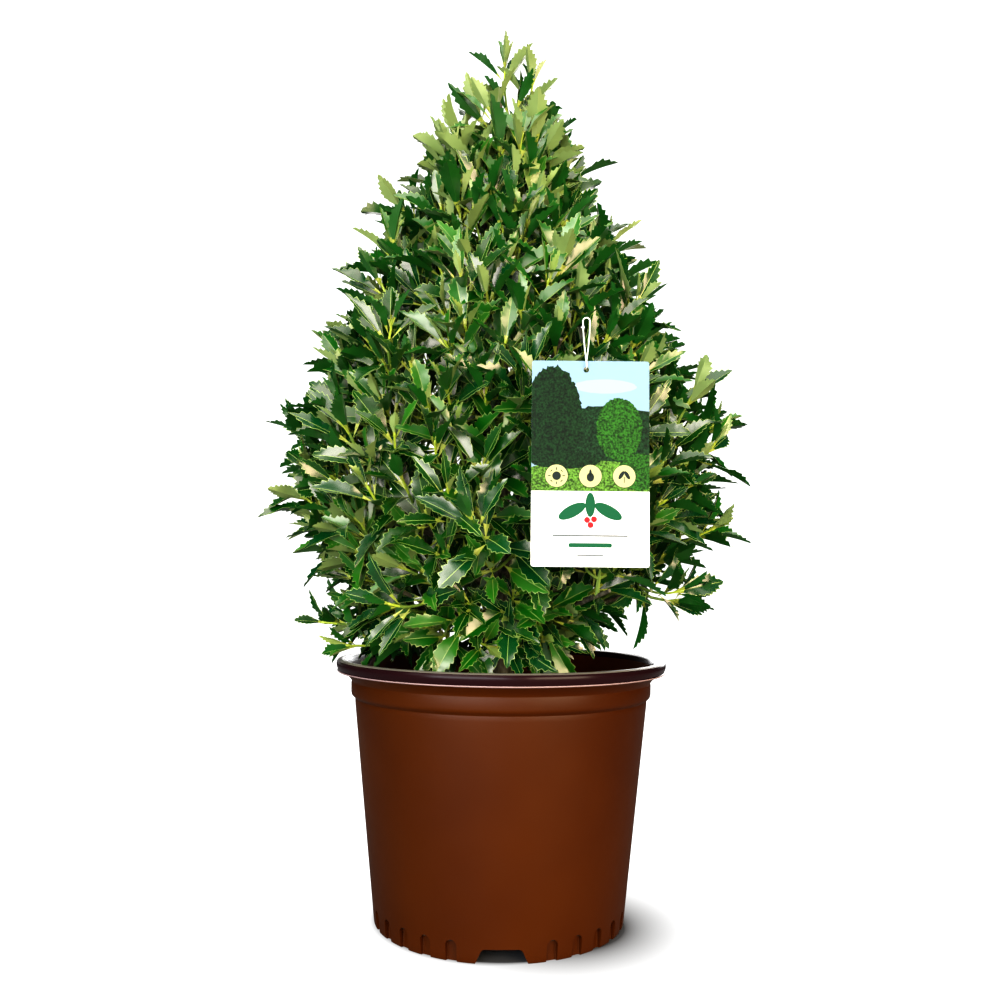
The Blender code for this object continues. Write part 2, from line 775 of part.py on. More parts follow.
def loop_points():
    """The loop's centre line: a long link whose lower bend is turned a quarter round to thread the tag."""
    angles = [math.pi * step / LOOP_ARC_STEPS for step in range(LOOP_ARC_STEPS + 1)]
    link = [(LOOP_RADIUS * math.cos(a), LOOP_TOP + LOOP_RADIUS * math.sin(a)) for a in angles]
    low = loop_bottom()
    straight = [LOOP_TOP + (low - LOOP_TOP) * part for part in (0.25, 0.5, 0.75)]
    link += [(-LOOP_RADIUS, height) for height in straight]
    link += [(-LOOP_RADIUS * math.cos(a), low - LOOP_RADIUS * math.sin(a)) for a in angles]
    link += [(LOOP_RADIUS, height) for height in reversed(straight)]
    points = []
    for beside, height in link:
        share = min(1.0, max(0.0, (LOOP_TOP - height) / (LOOP_TOP - low)))
        turn = math.pi / 2 * share
        points.append(Vector((LOOP_X + beside * math.cos(turn), TAG_Y + beside * math.sin(turn), height)))
    return points


def build_loop(parts, material):
    curve = bpy.data.curves.new("tag_loop", "CURVE")
    curve.dimensions = "3D"
    curve.bevel_depth = LOOP_WIRE
    curve.bevel_resolution = 1
    points = loop_points()
    spline = curve.splines.new("POLY")
    spline.points.add(len(points) - 1)
    for knot, place in zip(spline.points, points):
        knot.co = (*place, 1.0)
    spline.use_cyclic_u = True
    curve.materials.append(material)
    made = bpy.data.objects.new("tag_loop", curve)
    parts.objects.link(made)
    return made


def outline(curve, points):
    spline = curve.splines.new("POLY")
    spline.points.add(len(points) - 1)
    for knot, (across, up) in zip(spline.points, points):
        knot.co = (across, up, 0.0, 1.0)
    spline.use_cyclic_u = True


def build_tag(parts, material):
    """The tag's plate, upright across the front, with round corners and a punched hole under the loop."""
    curve = bpy.data.curves.new("tag", "CURVE")
    curve.dimensions = "2D"
    curve.fill_mode = "BOTH"
    curve.extrude = TAG_THICKNESS / 2
    half_width = TAG_WIDTH / 2 - TAG_CORNER
    half_height = TAG_HEIGHT / 2 - TAG_CORNER
    corners = []
    for quarter, (side, end) in enumerate(((1, 1), (-1, 1), (-1, -1), (1, -1))):
        for step in range(3):
            angle = math.radians(90 * quarter + 45 * step)
            across = side * half_width + TAG_CORNER * math.cos(angle)
            corners.append((across, end * half_height + TAG_CORNER * math.sin(angle)))
    outline(curve, corners)
    hole = Vector((LOOP_X - TAG_CENTRE_X, TAG_HEIGHT / 2 - TAG_HOLE_DEPTH))
    ring = [math.radians(30 * step) for step in range(12)]
    outline(
        curve,
        [(hole.x + TAG_HOLE_RADIUS * math.cos(a), hole.y + TAG_HOLE_RADIUS * math.sin(a)) for a in ring],
    )
    plate = bpy.data.objects.new("tag", curve)
    parts.objects.link(plate)
    plate.location = (TAG_CENTRE_X, TAG_Y, TAG_TOP - TAG_HEIGHT / 2)
    plate.rotation_euler = (math.radians(90), 0, 0)
    mesh = evaluated_mesh(plate, "tag")
    weld(mesh)
    return new_object("tag", mesh, parts, material)


def build_foliage(masses, parts, pieces, materials):
    guard = build_guard(masses)
    by_mass = {mass.name: [] for mass in masses}
    for target in surface_targets():
        by_mass[nearest_mass(target, masses).name].append(target)
    draw = random.Random(SHOOT_SEED + 1)
    total = 0
    for index, mass in enumerate(masses):
        shapes, leaves = mass_shapes(mass, by_mass[mass.name], masses, guard, draw)
        total += leaves
        fuse(f"foliage_{mass.name}", shapes, parts, pieces, materials[index % len(materials)])
    print(total, "leaves in", len(masses), "masses")


def main():
    clear_scene()
    parts = new_collection("potted_holly")
    cutters = new_collection("cutters")
    pieces = new_collection("pieces")
    build_pot(parts, cutters, new_material("pot_plastic", POT_BROWN, 0.38))
    build_soil(parts, new_material("potting_mix", MIX_BROWN, 0.95))
    trunk = new_object("trunk", trunk_mesh("trunk"), parts, new_material("bark", BARK_GREY, 0.85))
    trunk.data.shade_smooth()
    masses = plan_masses()
    build_boughs(masses, parts, cutters, new_material("young_wood", SHOOT_GREEN, 0.6))
    greens = [
        new_material(f"leaf_green_{index + 1}", colour, 0.35) for index, colour in enumerate(LEAF_GREENS)
    ]
    build_foliage(masses, parts, pieces, greens)
    white = new_material("tag_plastic", TAG_WHITE, 0.45)
    build_tag(parts, white)
    build_loop(parts, white)


main()
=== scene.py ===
# %% [markdown]
# # Dressing a potted holly
#
# The plain solids of a holly in a nursery pot are already packed. This notebook loads them as a fixed
# frame and grows the looks round them: a turned plastic pot, bark chips, a barked trunk, twigs that
# fork on from the boughs, and a few thousand spiny leaves. Everything is in metres, with +Z up.
# Nothing is read from disk but the frame, and nothing random is left without a seed.

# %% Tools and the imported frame
import math
import random

import bmesh
import bpy
import numpy as np
from mathutils import Matrix, Vector, noise


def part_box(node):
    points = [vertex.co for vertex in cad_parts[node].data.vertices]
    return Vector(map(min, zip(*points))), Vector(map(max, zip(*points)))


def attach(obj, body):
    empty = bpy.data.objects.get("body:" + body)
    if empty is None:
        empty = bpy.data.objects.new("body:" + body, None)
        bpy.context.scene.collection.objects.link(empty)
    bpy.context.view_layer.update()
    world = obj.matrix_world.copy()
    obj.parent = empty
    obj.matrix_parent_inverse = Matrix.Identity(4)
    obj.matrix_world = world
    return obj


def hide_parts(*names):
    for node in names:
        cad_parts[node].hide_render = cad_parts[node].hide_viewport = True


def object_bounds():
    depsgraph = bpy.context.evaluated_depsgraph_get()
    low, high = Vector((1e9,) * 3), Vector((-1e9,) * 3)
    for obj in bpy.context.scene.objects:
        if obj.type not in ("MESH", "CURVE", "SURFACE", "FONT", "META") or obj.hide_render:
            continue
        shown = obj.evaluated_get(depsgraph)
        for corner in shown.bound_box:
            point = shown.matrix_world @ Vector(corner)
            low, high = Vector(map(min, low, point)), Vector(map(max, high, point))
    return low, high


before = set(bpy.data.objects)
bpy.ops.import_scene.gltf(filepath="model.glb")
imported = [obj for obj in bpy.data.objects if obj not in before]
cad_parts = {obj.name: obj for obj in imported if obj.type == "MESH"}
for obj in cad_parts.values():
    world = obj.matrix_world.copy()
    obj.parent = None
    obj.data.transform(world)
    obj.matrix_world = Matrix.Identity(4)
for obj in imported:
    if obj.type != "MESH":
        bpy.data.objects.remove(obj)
CAD_LOW, CAD_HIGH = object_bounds()
print("solids", len(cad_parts), "box", tuple(round(side, 4) for side in CAD_HIGH - CAD_LOW))

# %% [markdown]
# ## The camera
#
# A product photograph of a pot is taken from near, a little above the rim, with the lens tipped up so
# that the tall crown fits. The rim's ellipse and the tapering sides give the distance, and the tip
# gives the pitch. The camera comes first, so that every later render can be set beside the photograph.

# %% Camera
CAMERA_PLACE = (-0.0025, -0.85, 0.290)
CAMERA_PITCH = math.radians(4.6)
CAMERA_ROLL = math.radians(0.6)
CAMERA_LENS = 34.5

aim = Matrix.Rotation(math.radians(90) + CAMERA_PITCH, 3, "X") @ Matrix.Rotation(CAMERA_ROLL, 3, "Z")
bpy.ops.object.camera_add(location=CAMERA_PLACE, rotation=aim.to_euler())
camera = bpy.context.object
camera.name = "camera"
camera.data.lens = CAMERA_LENS
bpy.context.scene.camera = camera
print("camera at", CAMERA_PLACE, "lens", CAMERA_LENS)

# %% [markdown]
# ## Nodes in one line
#
# Every finish, and the sky too, is a small tree of nodes. In the shader editor each node is added,
# filled in and wired by hand, and these helpers do the three at once. A plain value goes on the
# socket itself, and only what changes from place to place is wired.

# %% Node helpers
def set_inputs(tree, node, inputs):
    """Sets a node's sockets: another node's output is wired in, and anything else is a plain value."""
    for socket, value in inputs.items():
        if isinstance(value, bpy.types.NodeSocket):
            tree.links.new(value, node.inputs[socket])
        else:
            node.inputs[socket].default_value = value


def add_node(tree, kind, inputs, output=0, operation=None):
    """Adds a node with its sockets set, and gives one of its outputs."""
    node = tree.nodes.new("ShaderNode" + kind)
    if operation:
        node.operation = operation
    set_inputs(tree, node, inputs)
    return node.outputs[output]


def ranged(tree, number, span=(0, 1), result=(0, 1)):
    """Maps a number from one range onto another."""
    ends = {"From Min": span[0], "From Max": span[1], "To Min": result[0], "To Max": result[1]}
    return add_node(tree, "MapRange", {"Value": number, **ends}, "Result")


def switch(tree, factor, off, on):
    """A number that is one value where a factor is 0 and another where it is 1."""
    return add_node(tree, "Mix", {0: factor, 2: off, 3: on})


def finish(material, inputs):
    """Sets sockets of a material's own shader."""
    set_inputs(material.node_tree, material.node_tree.nodes["Principled BSDF"], inputs)


def plain_material(name, colour, roughness):
    """A Principled material with its colour and roughness on the shader's own sockets."""
    material = bpy.data.materials.new(name)
    material.use_nodes = True
    finish(material, {"Base Color": (*colour, 1.0), "Roughness": roughness})
    return material


# %% [markdown]
# ## The sky and the paper
#
# The holly stands on white paper that runs out of sight. The paper could be a curved sheet, but a
# wide floor under a white sky does the same from every side. The sky lights the plant less than it
# shows to the lens, because glossy leaves would turn grey in a sky as bright as the paper. The paper
# glows for the lens as well, and the glow fades towards the pot: what is left there is a painted soft
# shadow, to the pot's front right and round its foot.

# %% Sky
SKY_SEEN = 1.0
SKY_LIGHT = 0.03
SKY_MIRRORED = 0.04
BACKDROP_MIRRORED = 0.35
BACKDROP_SPAN = (0.70, 0.95)

world = bpy.data.worlds.new("studio_sky")
bpy.context.scene.world = world
world.use_nodes = True
sky = world.node_tree
rays = sky.nodes.new("ShaderNodeLightPath").outputs
depth = add_node(sky, "SeparateXYZ", {"Vector": add_node(sky, "TexCoord", {}, "Generated")}, "Y")
mirrored = ranged(sky, depth, BACKDROP_SPAN, (SKY_MIRRORED, BACKDROP_MIRRORED))
unseen = switch(sky, rays["Is Glossy Ray"], SKY_LIGHT, mirrored)
strength = switch(sky, rays["Is Camera Ray"], unseen, SKY_SEEN)
set_inputs(sky, sky.nodes["Background"], {"Color": (1, 1, 1, 1), "Strength": strength})
print("sky seen at", SKY_SEEN, "and lighting at", SKY_LIGHT)

# %% Paper
PAPER_RADIUS = 6.0
PAPER_TINT = (0.105, 0.107, 0.112)
PAPER_BOUNCE = 0.18
# Near this centre and near the pot's axis the glow fades out, leaving a painted shadow to the pot's front
# right and round its foot.
PAINTED_SHADOW_CENTRE = (0.045, -0.020, 0.0)
PAINTED_SHADOW_SPAN = (0.060, 0.150)
GLOW_EASE = 0.7
FOOT_PAINTED_SHADOW_SPAN = (0.101, 0.117)


def paper_material():
    """Paper that glows for the lens save for a painted shadow by the pot, and throws little light back at the
    plant.
    """
    material = plain_material("white_paper", PAPER_TINT, 1.0)
    tree = material.node_tree
    place = add_node(tree, "TexCoord", {}, "Object")
    glows = []
    for centre, span in ((PAINTED_SHADOW_CENTRE, PAINTED_SHADOW_SPAN), ((0, 0, 0), FOOT_PAINTED_SHADOW_SPAN)):
        away = add_node(tree, "VectorMath", {0: place, 1: centre}, "Value", "DISTANCE")
        glows.append(ranged(tree, away, span))
    least = add_node(tree, "Math", {0: glows[0], 1: glows[1]}, operation="MINIMUM")
    eased = add_node(tree, "Math", {0: least, 1: GLOW_EASE}, operation="POWER")
    lens = add_node(tree, "LightPath", {}, "Is Camera Ray")
    channels = {number: switch(tree, lens, PAPER_BOUNCE, seen) for number, seen in enumerate(PAPER_TINT)}
    finish(material, {"Base Color": add_node(tree, "CombineColor", channels), "Specular IOR Level": 0.0})
    finish(material, {"Emission Color": (1, 1, 1, 1), "Emission Strength": switch(tree, lens, 0.0, eased)})
    return material


bpy.ops.mesh.primitive_circle_add(vertices=96, radius=PAPER_RADIUS, fill_type="NGON")
paper = bpy.context.object
paper.name = "paper_floor"
paper.data.materials.append(paper_material())
print("paper", PAPER_RADIUS, "m round")

# %% [markdown]
# ## The lamps
#
# Holly leaves are small mirrors, so the lamps are wide panels: what a leaf shows of a panel is a soft
# grey patch and not a spark. The key stands high on the left, a panel hangs overhead, a warm one
# lights the pot's right side, a cool one fills the low left, and one behind parts plant and paper.

# %% Lamps
LAMPS = (  # name, place, aim, width, height, watts, colour
    ("key", (-0.95, -1.35, 1.50), (0, 0, 0.42), 2.2, 1.9, 21, (1.0, 0.99, 0.97)),
    ("overhead", (0.00, -0.45, 2.10), (0, 0, 0.30), 2.8, 2.0, 28, (1.0, 0.99, 0.97)),
    ("right_front", (1.05, -1.35, 0.50), (0, 0, 0.14), 1.2, 0.9, 28, (1.0, 0.86, 0.64)),
    ("low_left", (-0.60, -1.55, 0.42), (0, 0, 0.27), 1.6, 0.8, 25, (0.93, 0.97, 1.0)),
    ("behind", (0.30, 1.70, 0.95), (0, 0, 0.35), 1.6, 1.3, 26, (1.0, 1.0, 1.0)),
)

for name, place, target, width, height, watts, colour in LAMPS:
    turn = (Vector(target) - Vector(place)).to_track_quat("-Z", "Y")
    bpy.ops.object.light_add(type="AREA", location=place, rotation=turn.to_euler())
    lamp = bpy.context.object
    lamp.name = name
    lamp.data.shape = "RECTANGLE"
    lamp.data.size, lamp.data.size_y = width, height
    lamp.data.energy, lamp.data.color = watts, colour
bpy.context.scene.view_settings.view_transform = "Standard"
bpy.context.scene.view_settings.look = "High Contrast"
print("lamps", len(LAMPS))

# %% [markdown]
# ## Working in edit mode
#
# Operators act on whatever is selected. By hand you would click on a ring of points; in a script you
# say where they are. These helpers clear the selection, name the primitive that was just added, and
# pick points, edges or faces by a test of their middle.

# %% Selection helpers
HAIR = 1e-5


def deselect_all():
    if bpy.context.mode != "OBJECT":
        bpy.ops.object.mode_set(mode="OBJECT")
    bpy.ops.object.select_all(action="DESELECT")


def take_up(made):
    """Makes an object the one that is selected and active."""
    deselect_all()
    made.select_set(True)
    bpy.context.view_layer.objects.active = made


def added(name):
    """Names the primitive that was just added and puts its place into its mesh."""
    made = bpy.context.object
    made.name = made.data.name = name
    bpy.ops.object.transform_apply(location=True, rotation=True, scale=True)
    return made


def middle(item):
    if isinstance(item, bmesh.types.BMVert):
        return item.co
    if isinstance(item, bmesh.types.BMEdge):
        return (item.verts[0].co + item.verts[1].co) / 2
    return item.calc_center_median()


def pick(kind, test=None, numbers=()):
    """Selects points, edges or faces, by a test of their middle or by their numbers in a new primitive."""
    bpy.ops.mesh.select_mode(type=kind)
    bpy.ops.mesh.select_all(action="DESELECT")
    mesh = bpy.context.edit_object.data
    shape = bmesh.from_edit_mesh(mesh)
    items = {"VERT": shape.verts, "EDGE": shape.edges, "FACE": shape.faces}[kind]
    items.ensure_lookup_table()
    chosen = [item for item in items if test(middle(item))] if test else [items[number] for number in numbers]
    for item in chosen:
        item.select_set(True)
    shape.select_flush_mode()
    bmesh.update_edit_mesh(mesh)


# %% Helpers for whole objects
def apply_all(made):
    """Applies every modifier of an object, as the button in the modifier panel does."""
    take_up(made)
    for modifier in list(made.modifiers):
        bpy.ops.object.modifier_apply(modifier=modifier.name)


def smooth(made, degrees):
    take_up(made)
    bpy.ops.object.shade_smooth_by_angle(angle=math.radians(degrees))


def join(pieces, name):
    take_up(pieces[0])
    for piece in pieces:
        piece.select_set(True)
    if len(pieces) > 1:
        bpy.ops.object.join()
    pieces[0].name = pieces[0].data.name = name
    return pieces[0]


def point_outwards(made, merge=0.0):
    """Merges doubles and turns every face outwards."""
    take_up(made)
    bpy.ops.object.mode_set(mode="EDIT")
    bpy.ops.mesh.select_all(action="SELECT")
    if merge:
        bpy.ops.mesh.remove_doubles(threshold=merge)
    bpy.ops.mesh.normals_make_consistent(inside=False)
    bpy.ops.object.mode_set(mode="OBJECT")


def linked(name, mesh):
    """A new object in the scene for a mesh."""
    made = bpy.data.objects.new(name, mesh)
    bpy.context.scene.collection.objects.link(made)
    return made


def triangles(made):
    return sum(len(face.vertices) - 2 for face in made.data.polygons)


# %% [markdown]
# ## Finishes from noise
#
# Moulded plastic, bark and compost all differ from one flat colour in the same two ways: their tone
# drifts from place to place, and their surface is not quite smooth. These helpers add both to a plain
# material, from noise on the object's own coordinates, so that the pattern stays put in every view.

# %% Noise for tone and relief
def texture_space(material, stretch=(1, 1, 1)):
    place = add_node(material.node_tree, "TexCoord", {}, "Object")
    return add_node(material.node_tree, "Mapping", {"Vector": place, "Scale": stretch})


def noise_node(material, space, scale, detail):
    inputs = {"Vector": space, "Scale": scale, "Detail": detail}
    return add_node(material.node_tree, "TexNoise", inputs, "Fac")


def ramp_node(material, factor, stops):
    """A colour ramp of (position, colour) stops read at a factor."""
    colours = add_node(material.node_tree, "ValToRGB", {"Fac": factor}, "Color")
    elements = colours.node.color_ramp.elements
    while len(elements) < len(stops):
        elements.new(0.5)
    for element, (position, colour) in zip(elements, stops):
        element.position = position
        element.color = (*colour, 1.0)
    return colours


def add_relief(material, height, distance, strength):
    relief = {"Height": height, "Distance": distance, "Strength": strength}
    finish(material, {"Normal": add_node(material.node_tree, "Bump", relief)})


# %% [markdown]
# ## The pot
#
# A nursery pot is one thin plastic wall: a rolled lip, a collar with two fine grooves, a tapering
# body and a skirt with drain notches and arched flutes. It could be spun from a profile. Here a ring
# is raised step by step, extruded and resized, which is how it is drawn by hand, and the openings of
# the skirt are cut by a Boolean afterwards.

# %% Pot sizes
POT_LOW, POT_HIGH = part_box("pot")
POT_HEIGHT = POT_HIGH.z
LIP_RADIUS = POT_HIGH.x
COLLAR_BOTTOM = 0.1850
BODY_TOP_RADIUS = 0.1262
FOOT_RADIUS = 0.1063
FOOT_WIDTH = 0.0060
WALL = 0.0022
FLOOR_UNDERSIDE = 0.0125
FLOOR_TOP = 0.0150
POT_SIDES = 160


def body_radius(height):
    return FOOT_RADIUS + (BODY_TOP_RADIUS - FOOT_RADIUS) * height / COLLAR_BOTTOM


OUTSIDE = [(FOOT_RADIUS - 0.0010, 0.0), (FOOT_RADIUS - 0.0002, 0.0006)]
OUTSIDE += [(body_radius(height), height) for height in (0.0018, 0.006, 0.011, 0.0155, 0.020, 0.032)]
OUTSIDE += [(body_radius(height), height) for height in (0.060, 0.100, 0.140, 0.170, 0.182)]
COLLAR = [  # a groove, the collar's step, a second groove and the flare under the lip
    (0.12605, 0.1853), (0.12585, 0.1864), (0.12640, 0.1873), (0.12790, 0.1883), (0.12905, 0.1896),
    (0.12950, 0.1915), (0.12965, 0.1990), (0.12945, 0.2002), (0.12925, 0.2010), (0.12960, 0.2018),
    (0.13030, 0.2028), (0.13180, 0.2046), (0.13400, 0.2064), (0.13540, 0.2078), (0.13600, 0.2088),
]
LIP = [  # a fine bead along its lower edge, the outer face, the rolled top and the mouth
    (0.14020, 0.2090), (0.14130, 0.2092), (0.14185, 0.2097), (0.14170, 0.2103), (0.14115, 0.2107),
    (0.14135, 0.2113), (0.14195, 0.2126), (0.14240, 0.2144), (LIP_RADIUS, 0.2160), (0.14225, 0.2174),
    (0.14150, 0.2185), (0.14020, 0.2192), (0.13850, POT_HEIGHT), (0.13660, 0.2194), (0.13480, 0.2189),
    (0.13340, 0.2180), (0.13260, 0.2166), (0.13180, 0.2140),
]
INSIDE = [(0.1300, 0.2080), (0.1284, 0.2020), (0.1278, 0.1900), (0.1262, 0.1872), (0.1240, 0.1850)]
INSIDE += [(body_radius(height) - WALL, height) for height in (0.140, 0.080, 0.030, FLOOR_TOP)]
UNDERSIDE = [(FOOT_RADIUS - FOOT_WIDTH, 0.0), (FOOT_RADIUS - FOOT_WIDTH - 0.0008, FLOOR_UNDERSIDE)]
print("pot height", round(POT_HEIGHT, 4), "lip radius", round(LIP_RADIUS, 4))

# %% Raising the pot's ring
def raise_ring(profile, radius, height):
    """Extrudes the selected ring through each radius and height, and closes it where the radius is 0."""
    for next_radius, next_height in profile:
        step = (0, 0, next_height - height)
        bpy.ops.mesh.extrude_region_move(TRANSFORM_OT_translate={"value": step})
        if next_radius == 0:
            bpy.ops.mesh.merge(type="CENTER")
            return
        ratio = next_radius / radius
        bpy.ops.transform.resize(value=(ratio, ratio, 1), center_override=(0, 0, next_height))
        radius, height = next_radius, next_height


def turn_shape(name, profile, sides, second=()):
    """A turned shape from the ring at the first point, with a second run of rings that starts there too."""
    deselect_all()
    radius, height = profile[0]
    bpy.ops.mesh.primitive_circle_add(vertices=sides, radius=radius, location=(0, 0, height))
    made = added(name)
    bpy.ops.object.mode_set(mode="EDIT")
    bpy.ops.mesh.select_mode(type="EDGE")
    bpy.ops.mesh.select_all(action="SELECT")
    raise_ring(profile[1:], radius, height)
    if second:
        pick("VERT", lambda co: abs(co.xy.length - radius) < 10 * HAIR and abs(co.z - height) < HAIR)
        bpy.ops.mesh.select_mode(type="EDGE")
        raise_ring(second, radius, height)
    bpy.ops.object.mode_set(mode="OBJECT")
    return made


pot = turn_shape("nursery_pot", OUTSIDE + COLLAR + LIP + INSIDE + [(0, FLOOR_TOP)], POT_SIDES,
                 UNDERSIDE + [(0, FLOOR_UNDERSIDE)])
point_outwards(pot)
print("pot rings", len(pot.data.vertices) // POT_SIDES)

# %% [markdown]
# The skirt stands on the ground in four feet. Between them are drain notches with sloping ends, and
# each foot carries five arched flutes. One notch block and one flute bar are modelled and copied
# round, and a single Boolean takes them all out of the wall.

# %% Notches and flutes of the skirt
NOTCH_AZIMUTHS = (271.3, 1.3, 91.3, 181.3)
NOTCH_TOP_WIDTH = 0.030
NOTCH_FOOT_WIDTH = 0.044
NOTCH_HEIGHT = 0.0115
NOTCH_DROP = 0.004
NOTCH_ROUNDING = 0.0022
FLUTE_OFFSETS = (21, 33, 45, 57, 69)
FLUTE_WIDTH = 0.0092
FLUTE_HEIGHT = 0.0165
FLUTE_DEPTH = 0.0026
FLUTE_ROUNDING = (0.0008, 0.0006)
BAR_LENGTH = 0.02


def notch_block():
    """A block whose ends slope: wider at the foot than at the top, with its upper corners rounded."""
    deselect_all()
    bpy.ops.mesh.primitive_cube_add(size=1)
    block = added("notch_block")
    bpy.ops.object.mode_set(mode="EDIT")
    height = NOTCH_HEIGHT + NOTCH_DROP
    size = (3 * FOOT_WIDTH, NOTCH_FOOT_WIDTH, height)
    bpy.ops.mesh.select_all(action="SELECT")
    bpy.ops.transform.resize(value=size, center_override=(0, 0, 0))
    pick("FACE", lambda co: co.z > height / 4)
    narrow = NOTCH_TOP_WIDTH / NOTCH_FOOT_WIDTH
    bpy.ops.transform.resize(value=(1, narrow, 1), center_override=(0, 0, height / 2))
    pick("EDGE", lambda co: co.z > height * 0.45 and abs(co.y) > NOTCH_TOP_WIDTH * 0.4)
    bpy.ops.mesh.bevel(offset=NOTCH_ROUNDING, segments=4, affect="EDGES")
    bpy.ops.mesh.select_all(action="SELECT")
    out = FOOT_RADIUS - FOOT_WIDTH / 2
    bpy.ops.transform.translate(value=(out, 0, NOTCH_HEIGHT - height / 2))
    bpy.ops.object.mode_set(mode="OBJECT")
    return block


def flute_bar():
    """A bar with a round top that lies across the wall: it leaves an arched recess, open at the foot."""
    deselect_all()
    reach = FOOT_RADIUS - FLUTE_DEPTH + BAR_LENGTH / 2
    crown = FLUTE_HEIGHT - FLUTE_WIDTH / 2
    place, turn = (reach, 0, crown), (0, math.radians(90), 0)
    bpy.ops.mesh.primitive_cylinder_add(
        vertices=28, radius=FLUTE_WIDTH / 2, depth=BAR_LENGTH, location=place, rotation=turn
    )
    bar = added("flute_bar")
    bpy.ops.object.mode_set(mode="EDIT")
    pick("VERT", lambda co: co.z < crown - HAIR)
    bpy.ops.transform.translate(value=(0, 0, -FLUTE_HEIGHT))
    pick("FACE", lambda co: co.x < reach - BAR_LENGTH * 0.4)
    bpy.ops.mesh.inset(thickness=FLUTE_ROUNDING[0])
    bpy.ops.transform.translate(value=(-FLUTE_ROUNDING[1], 0, 0))
    bpy.ops.object.mode_set(mode="OBJECT")
    return bar


def copies_round(template, azimuths):
    """Copies of a shape turned round the pot's axis, each with its own mesh, in place of the shape."""
    made = []
    for azimuth in azimuths:
        copy = linked(template.name, template.data.copy())
        copy.data.transform(Matrix.Rotation(math.radians(azimuth), 4, "Z"))
        made.append(copy)
    bpy.data.objects.remove(template)
    return made


def cut_with(made, cutters):
    """Takes the joined cutters out of a shape and removes them."""
    tool = join(cutters, "cutter")
    cut = made.modifiers.new("cut", "BOOLEAN")
    cut.operation, cut.solver, cut.object = "DIFFERENCE", "EXACT", tool
    apply_all(made)
    bpy.data.objects.remove(tool)


notches = copies_round(notch_block(), NOTCH_AZIMUTHS)
flutes = [notch + offset for notch in NOTCH_AZIMUTHS for offset in FLUTE_OFFSETS]
cut_with(pot, notches + copies_round(flute_bar(), flutes))
smooth(pot, 32)
print("pot triangles", triangles(pot))

# %% [markdown]
# ### Moulded plastic
#
# The plastic is a warm red-brown with a soft sheen and a faint moulded grain. The lip is darker and
# more purple, with a painted highlight, pale pink, along its lower bead and a painted reflection,
# beige, on its rolled top. A mix by height could paint them all in one material, but the export
# would smear its sharp steps, so bands of faces get plain materials of their own.

# %% Pot plastic
POT_BROWN = (0.078, 0.0185, 0.0008)
POT_BROWN_DEEP = (0.066, 0.0148, 0.0006)
POT_SHEEN = 0.20
# The second finish is a painted highlight on the lip's lower bead, and the third a painted reflection on its
# rolled top.
LIP_FINISHES = (("lip_plastic", (0.022, 0.0068, 0.0085), 0.22), ("lip_bead", (0.40, 0.275, 0.265), 0.40))
LIP_FINISHES += (("lip_top", (0.19, 0.170, 0.140), 0.36),)
LIP_BANDS = (  # material slot, lowest and highest height of the faces, and the least radius
    (1, 0.20885, 0.2200, 0.1315),
    (2, 0.20905, 0.2100, 0.1405),
    (3, 0.21880, 0.2200, 0.1345),
)


def pot_plastic():
    material = plain_material("pot_plastic", POT_BROWN, 0.42)
    space = texture_space(material)
    tone = ramp_node(material, noise_node(material, space, 9, 2), ((0.35, POT_BROWN_DEEP), (0.65, POT_BROWN)))
    wear = ranged(material.node_tree, noise_node(material, space, 60, 4), result=(0.38, 0.50))
    finish(material, {"Base Color": tone, "Roughness": wear})
    add_relief(material, noise_node(material, space, 900, 2), 0.00006, 0.6)
    return material


def paint_band(made, slot, low, high, least_radius):
    """Gives a band of faces round the pot's axis a material slot."""
    take_up(made)
    bpy.ops.object.mode_set(mode="EDIT")
    pick("FACE", lambda co: low < co.z < high and co.xy.length > least_radius)
    made.active_material_index = slot
    bpy.ops.object.material_slot_assign()
    bpy.ops.object.mode_set(mode="OBJECT")


pot.data.materials.clear()
for plastic in [pot_plastic()] + [plain_material(*lip_finish) for lip_finish in LIP_FINISHES]:
    finish(plastic, {"Specular IOR Level": POT_SHEEN})
    pot.data.materials.append(plastic)
for band in LIP_BANDS:
    paint_band(pot, *band)
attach(pot, "root")
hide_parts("pot")
print("pot is dressed")

# %% [markdown]
# ## The potting mix
#
# Nursery mix is crumbled bark: dark, matt and lumpy, with chips of all sizes on top. A disc with a
# displaced surface gives the lumps, and one chip is copied over it a few hundred times.
# It shows only between the lowest leaves, but it shows from above and from behind.

# %% Crumbly surface of the mix
SOIL_LEVEL = 0.1945
SOIL_RADIUS = 0.1274
SOIL_EDGE_DROP = 0.0025
SOIL_RELIEF = 0.0022
SOIL_FLAT = 0.190
SOIL_RINGS = 46
SOIL_GAP = 0.0004
CHIPS = 520
CHIP_SIZE = (0.010, 0.0050, 0.0022)
CHIP_ENDS = ((1, (1, 0.55, 0.6), 0.0008), (-1, (1, 0.75, 0.7), -0.0006))
SOIL_SEED = 5


def soil_height(x, y):
    """Height of the mix at a place: it falls a little to the edge and is lumpy."""
    spot = Vector((x, y, 0.0))
    fall = SOIL_EDGE_DROP * (spot.length / SOIL_RADIUS) ** 2
    lumps = noise.fractal(spot * 90, 0.9, 2.1, 4) * SOIL_RELIEF
    return SOIL_LEVEL - 0.0012 - fall + lumps * min(1.0, (SOIL_RADIUS - spot.length) / 0.004)


def build_soil():
    foot = FLOOR_TOP + SOIL_GAP
    rings = [(SOIL_RADIUS * (1 - step / SOIL_RINGS), SOIL_FLAT) for step in range(1, SOIL_RINGS)]
    body = [(body_radius(0.03) - WALL - SOIL_GAP, foot), (0.1236, 0.1846), (SOIL_RADIUS, SOIL_FLAT + 0.0005)]
    made = turn_shape("potting_mix", body + rings + [(0, SOIL_FLAT)], 128, [(0, foot)])
    for vert in made.data.vertices:
        if vert.co.z > SOIL_FLAT - 0.003:
            vert.co.z = soil_height(vert.co.x, vert.co.y)
    point_outwards(made)
    smooth(made, 60)
    return made


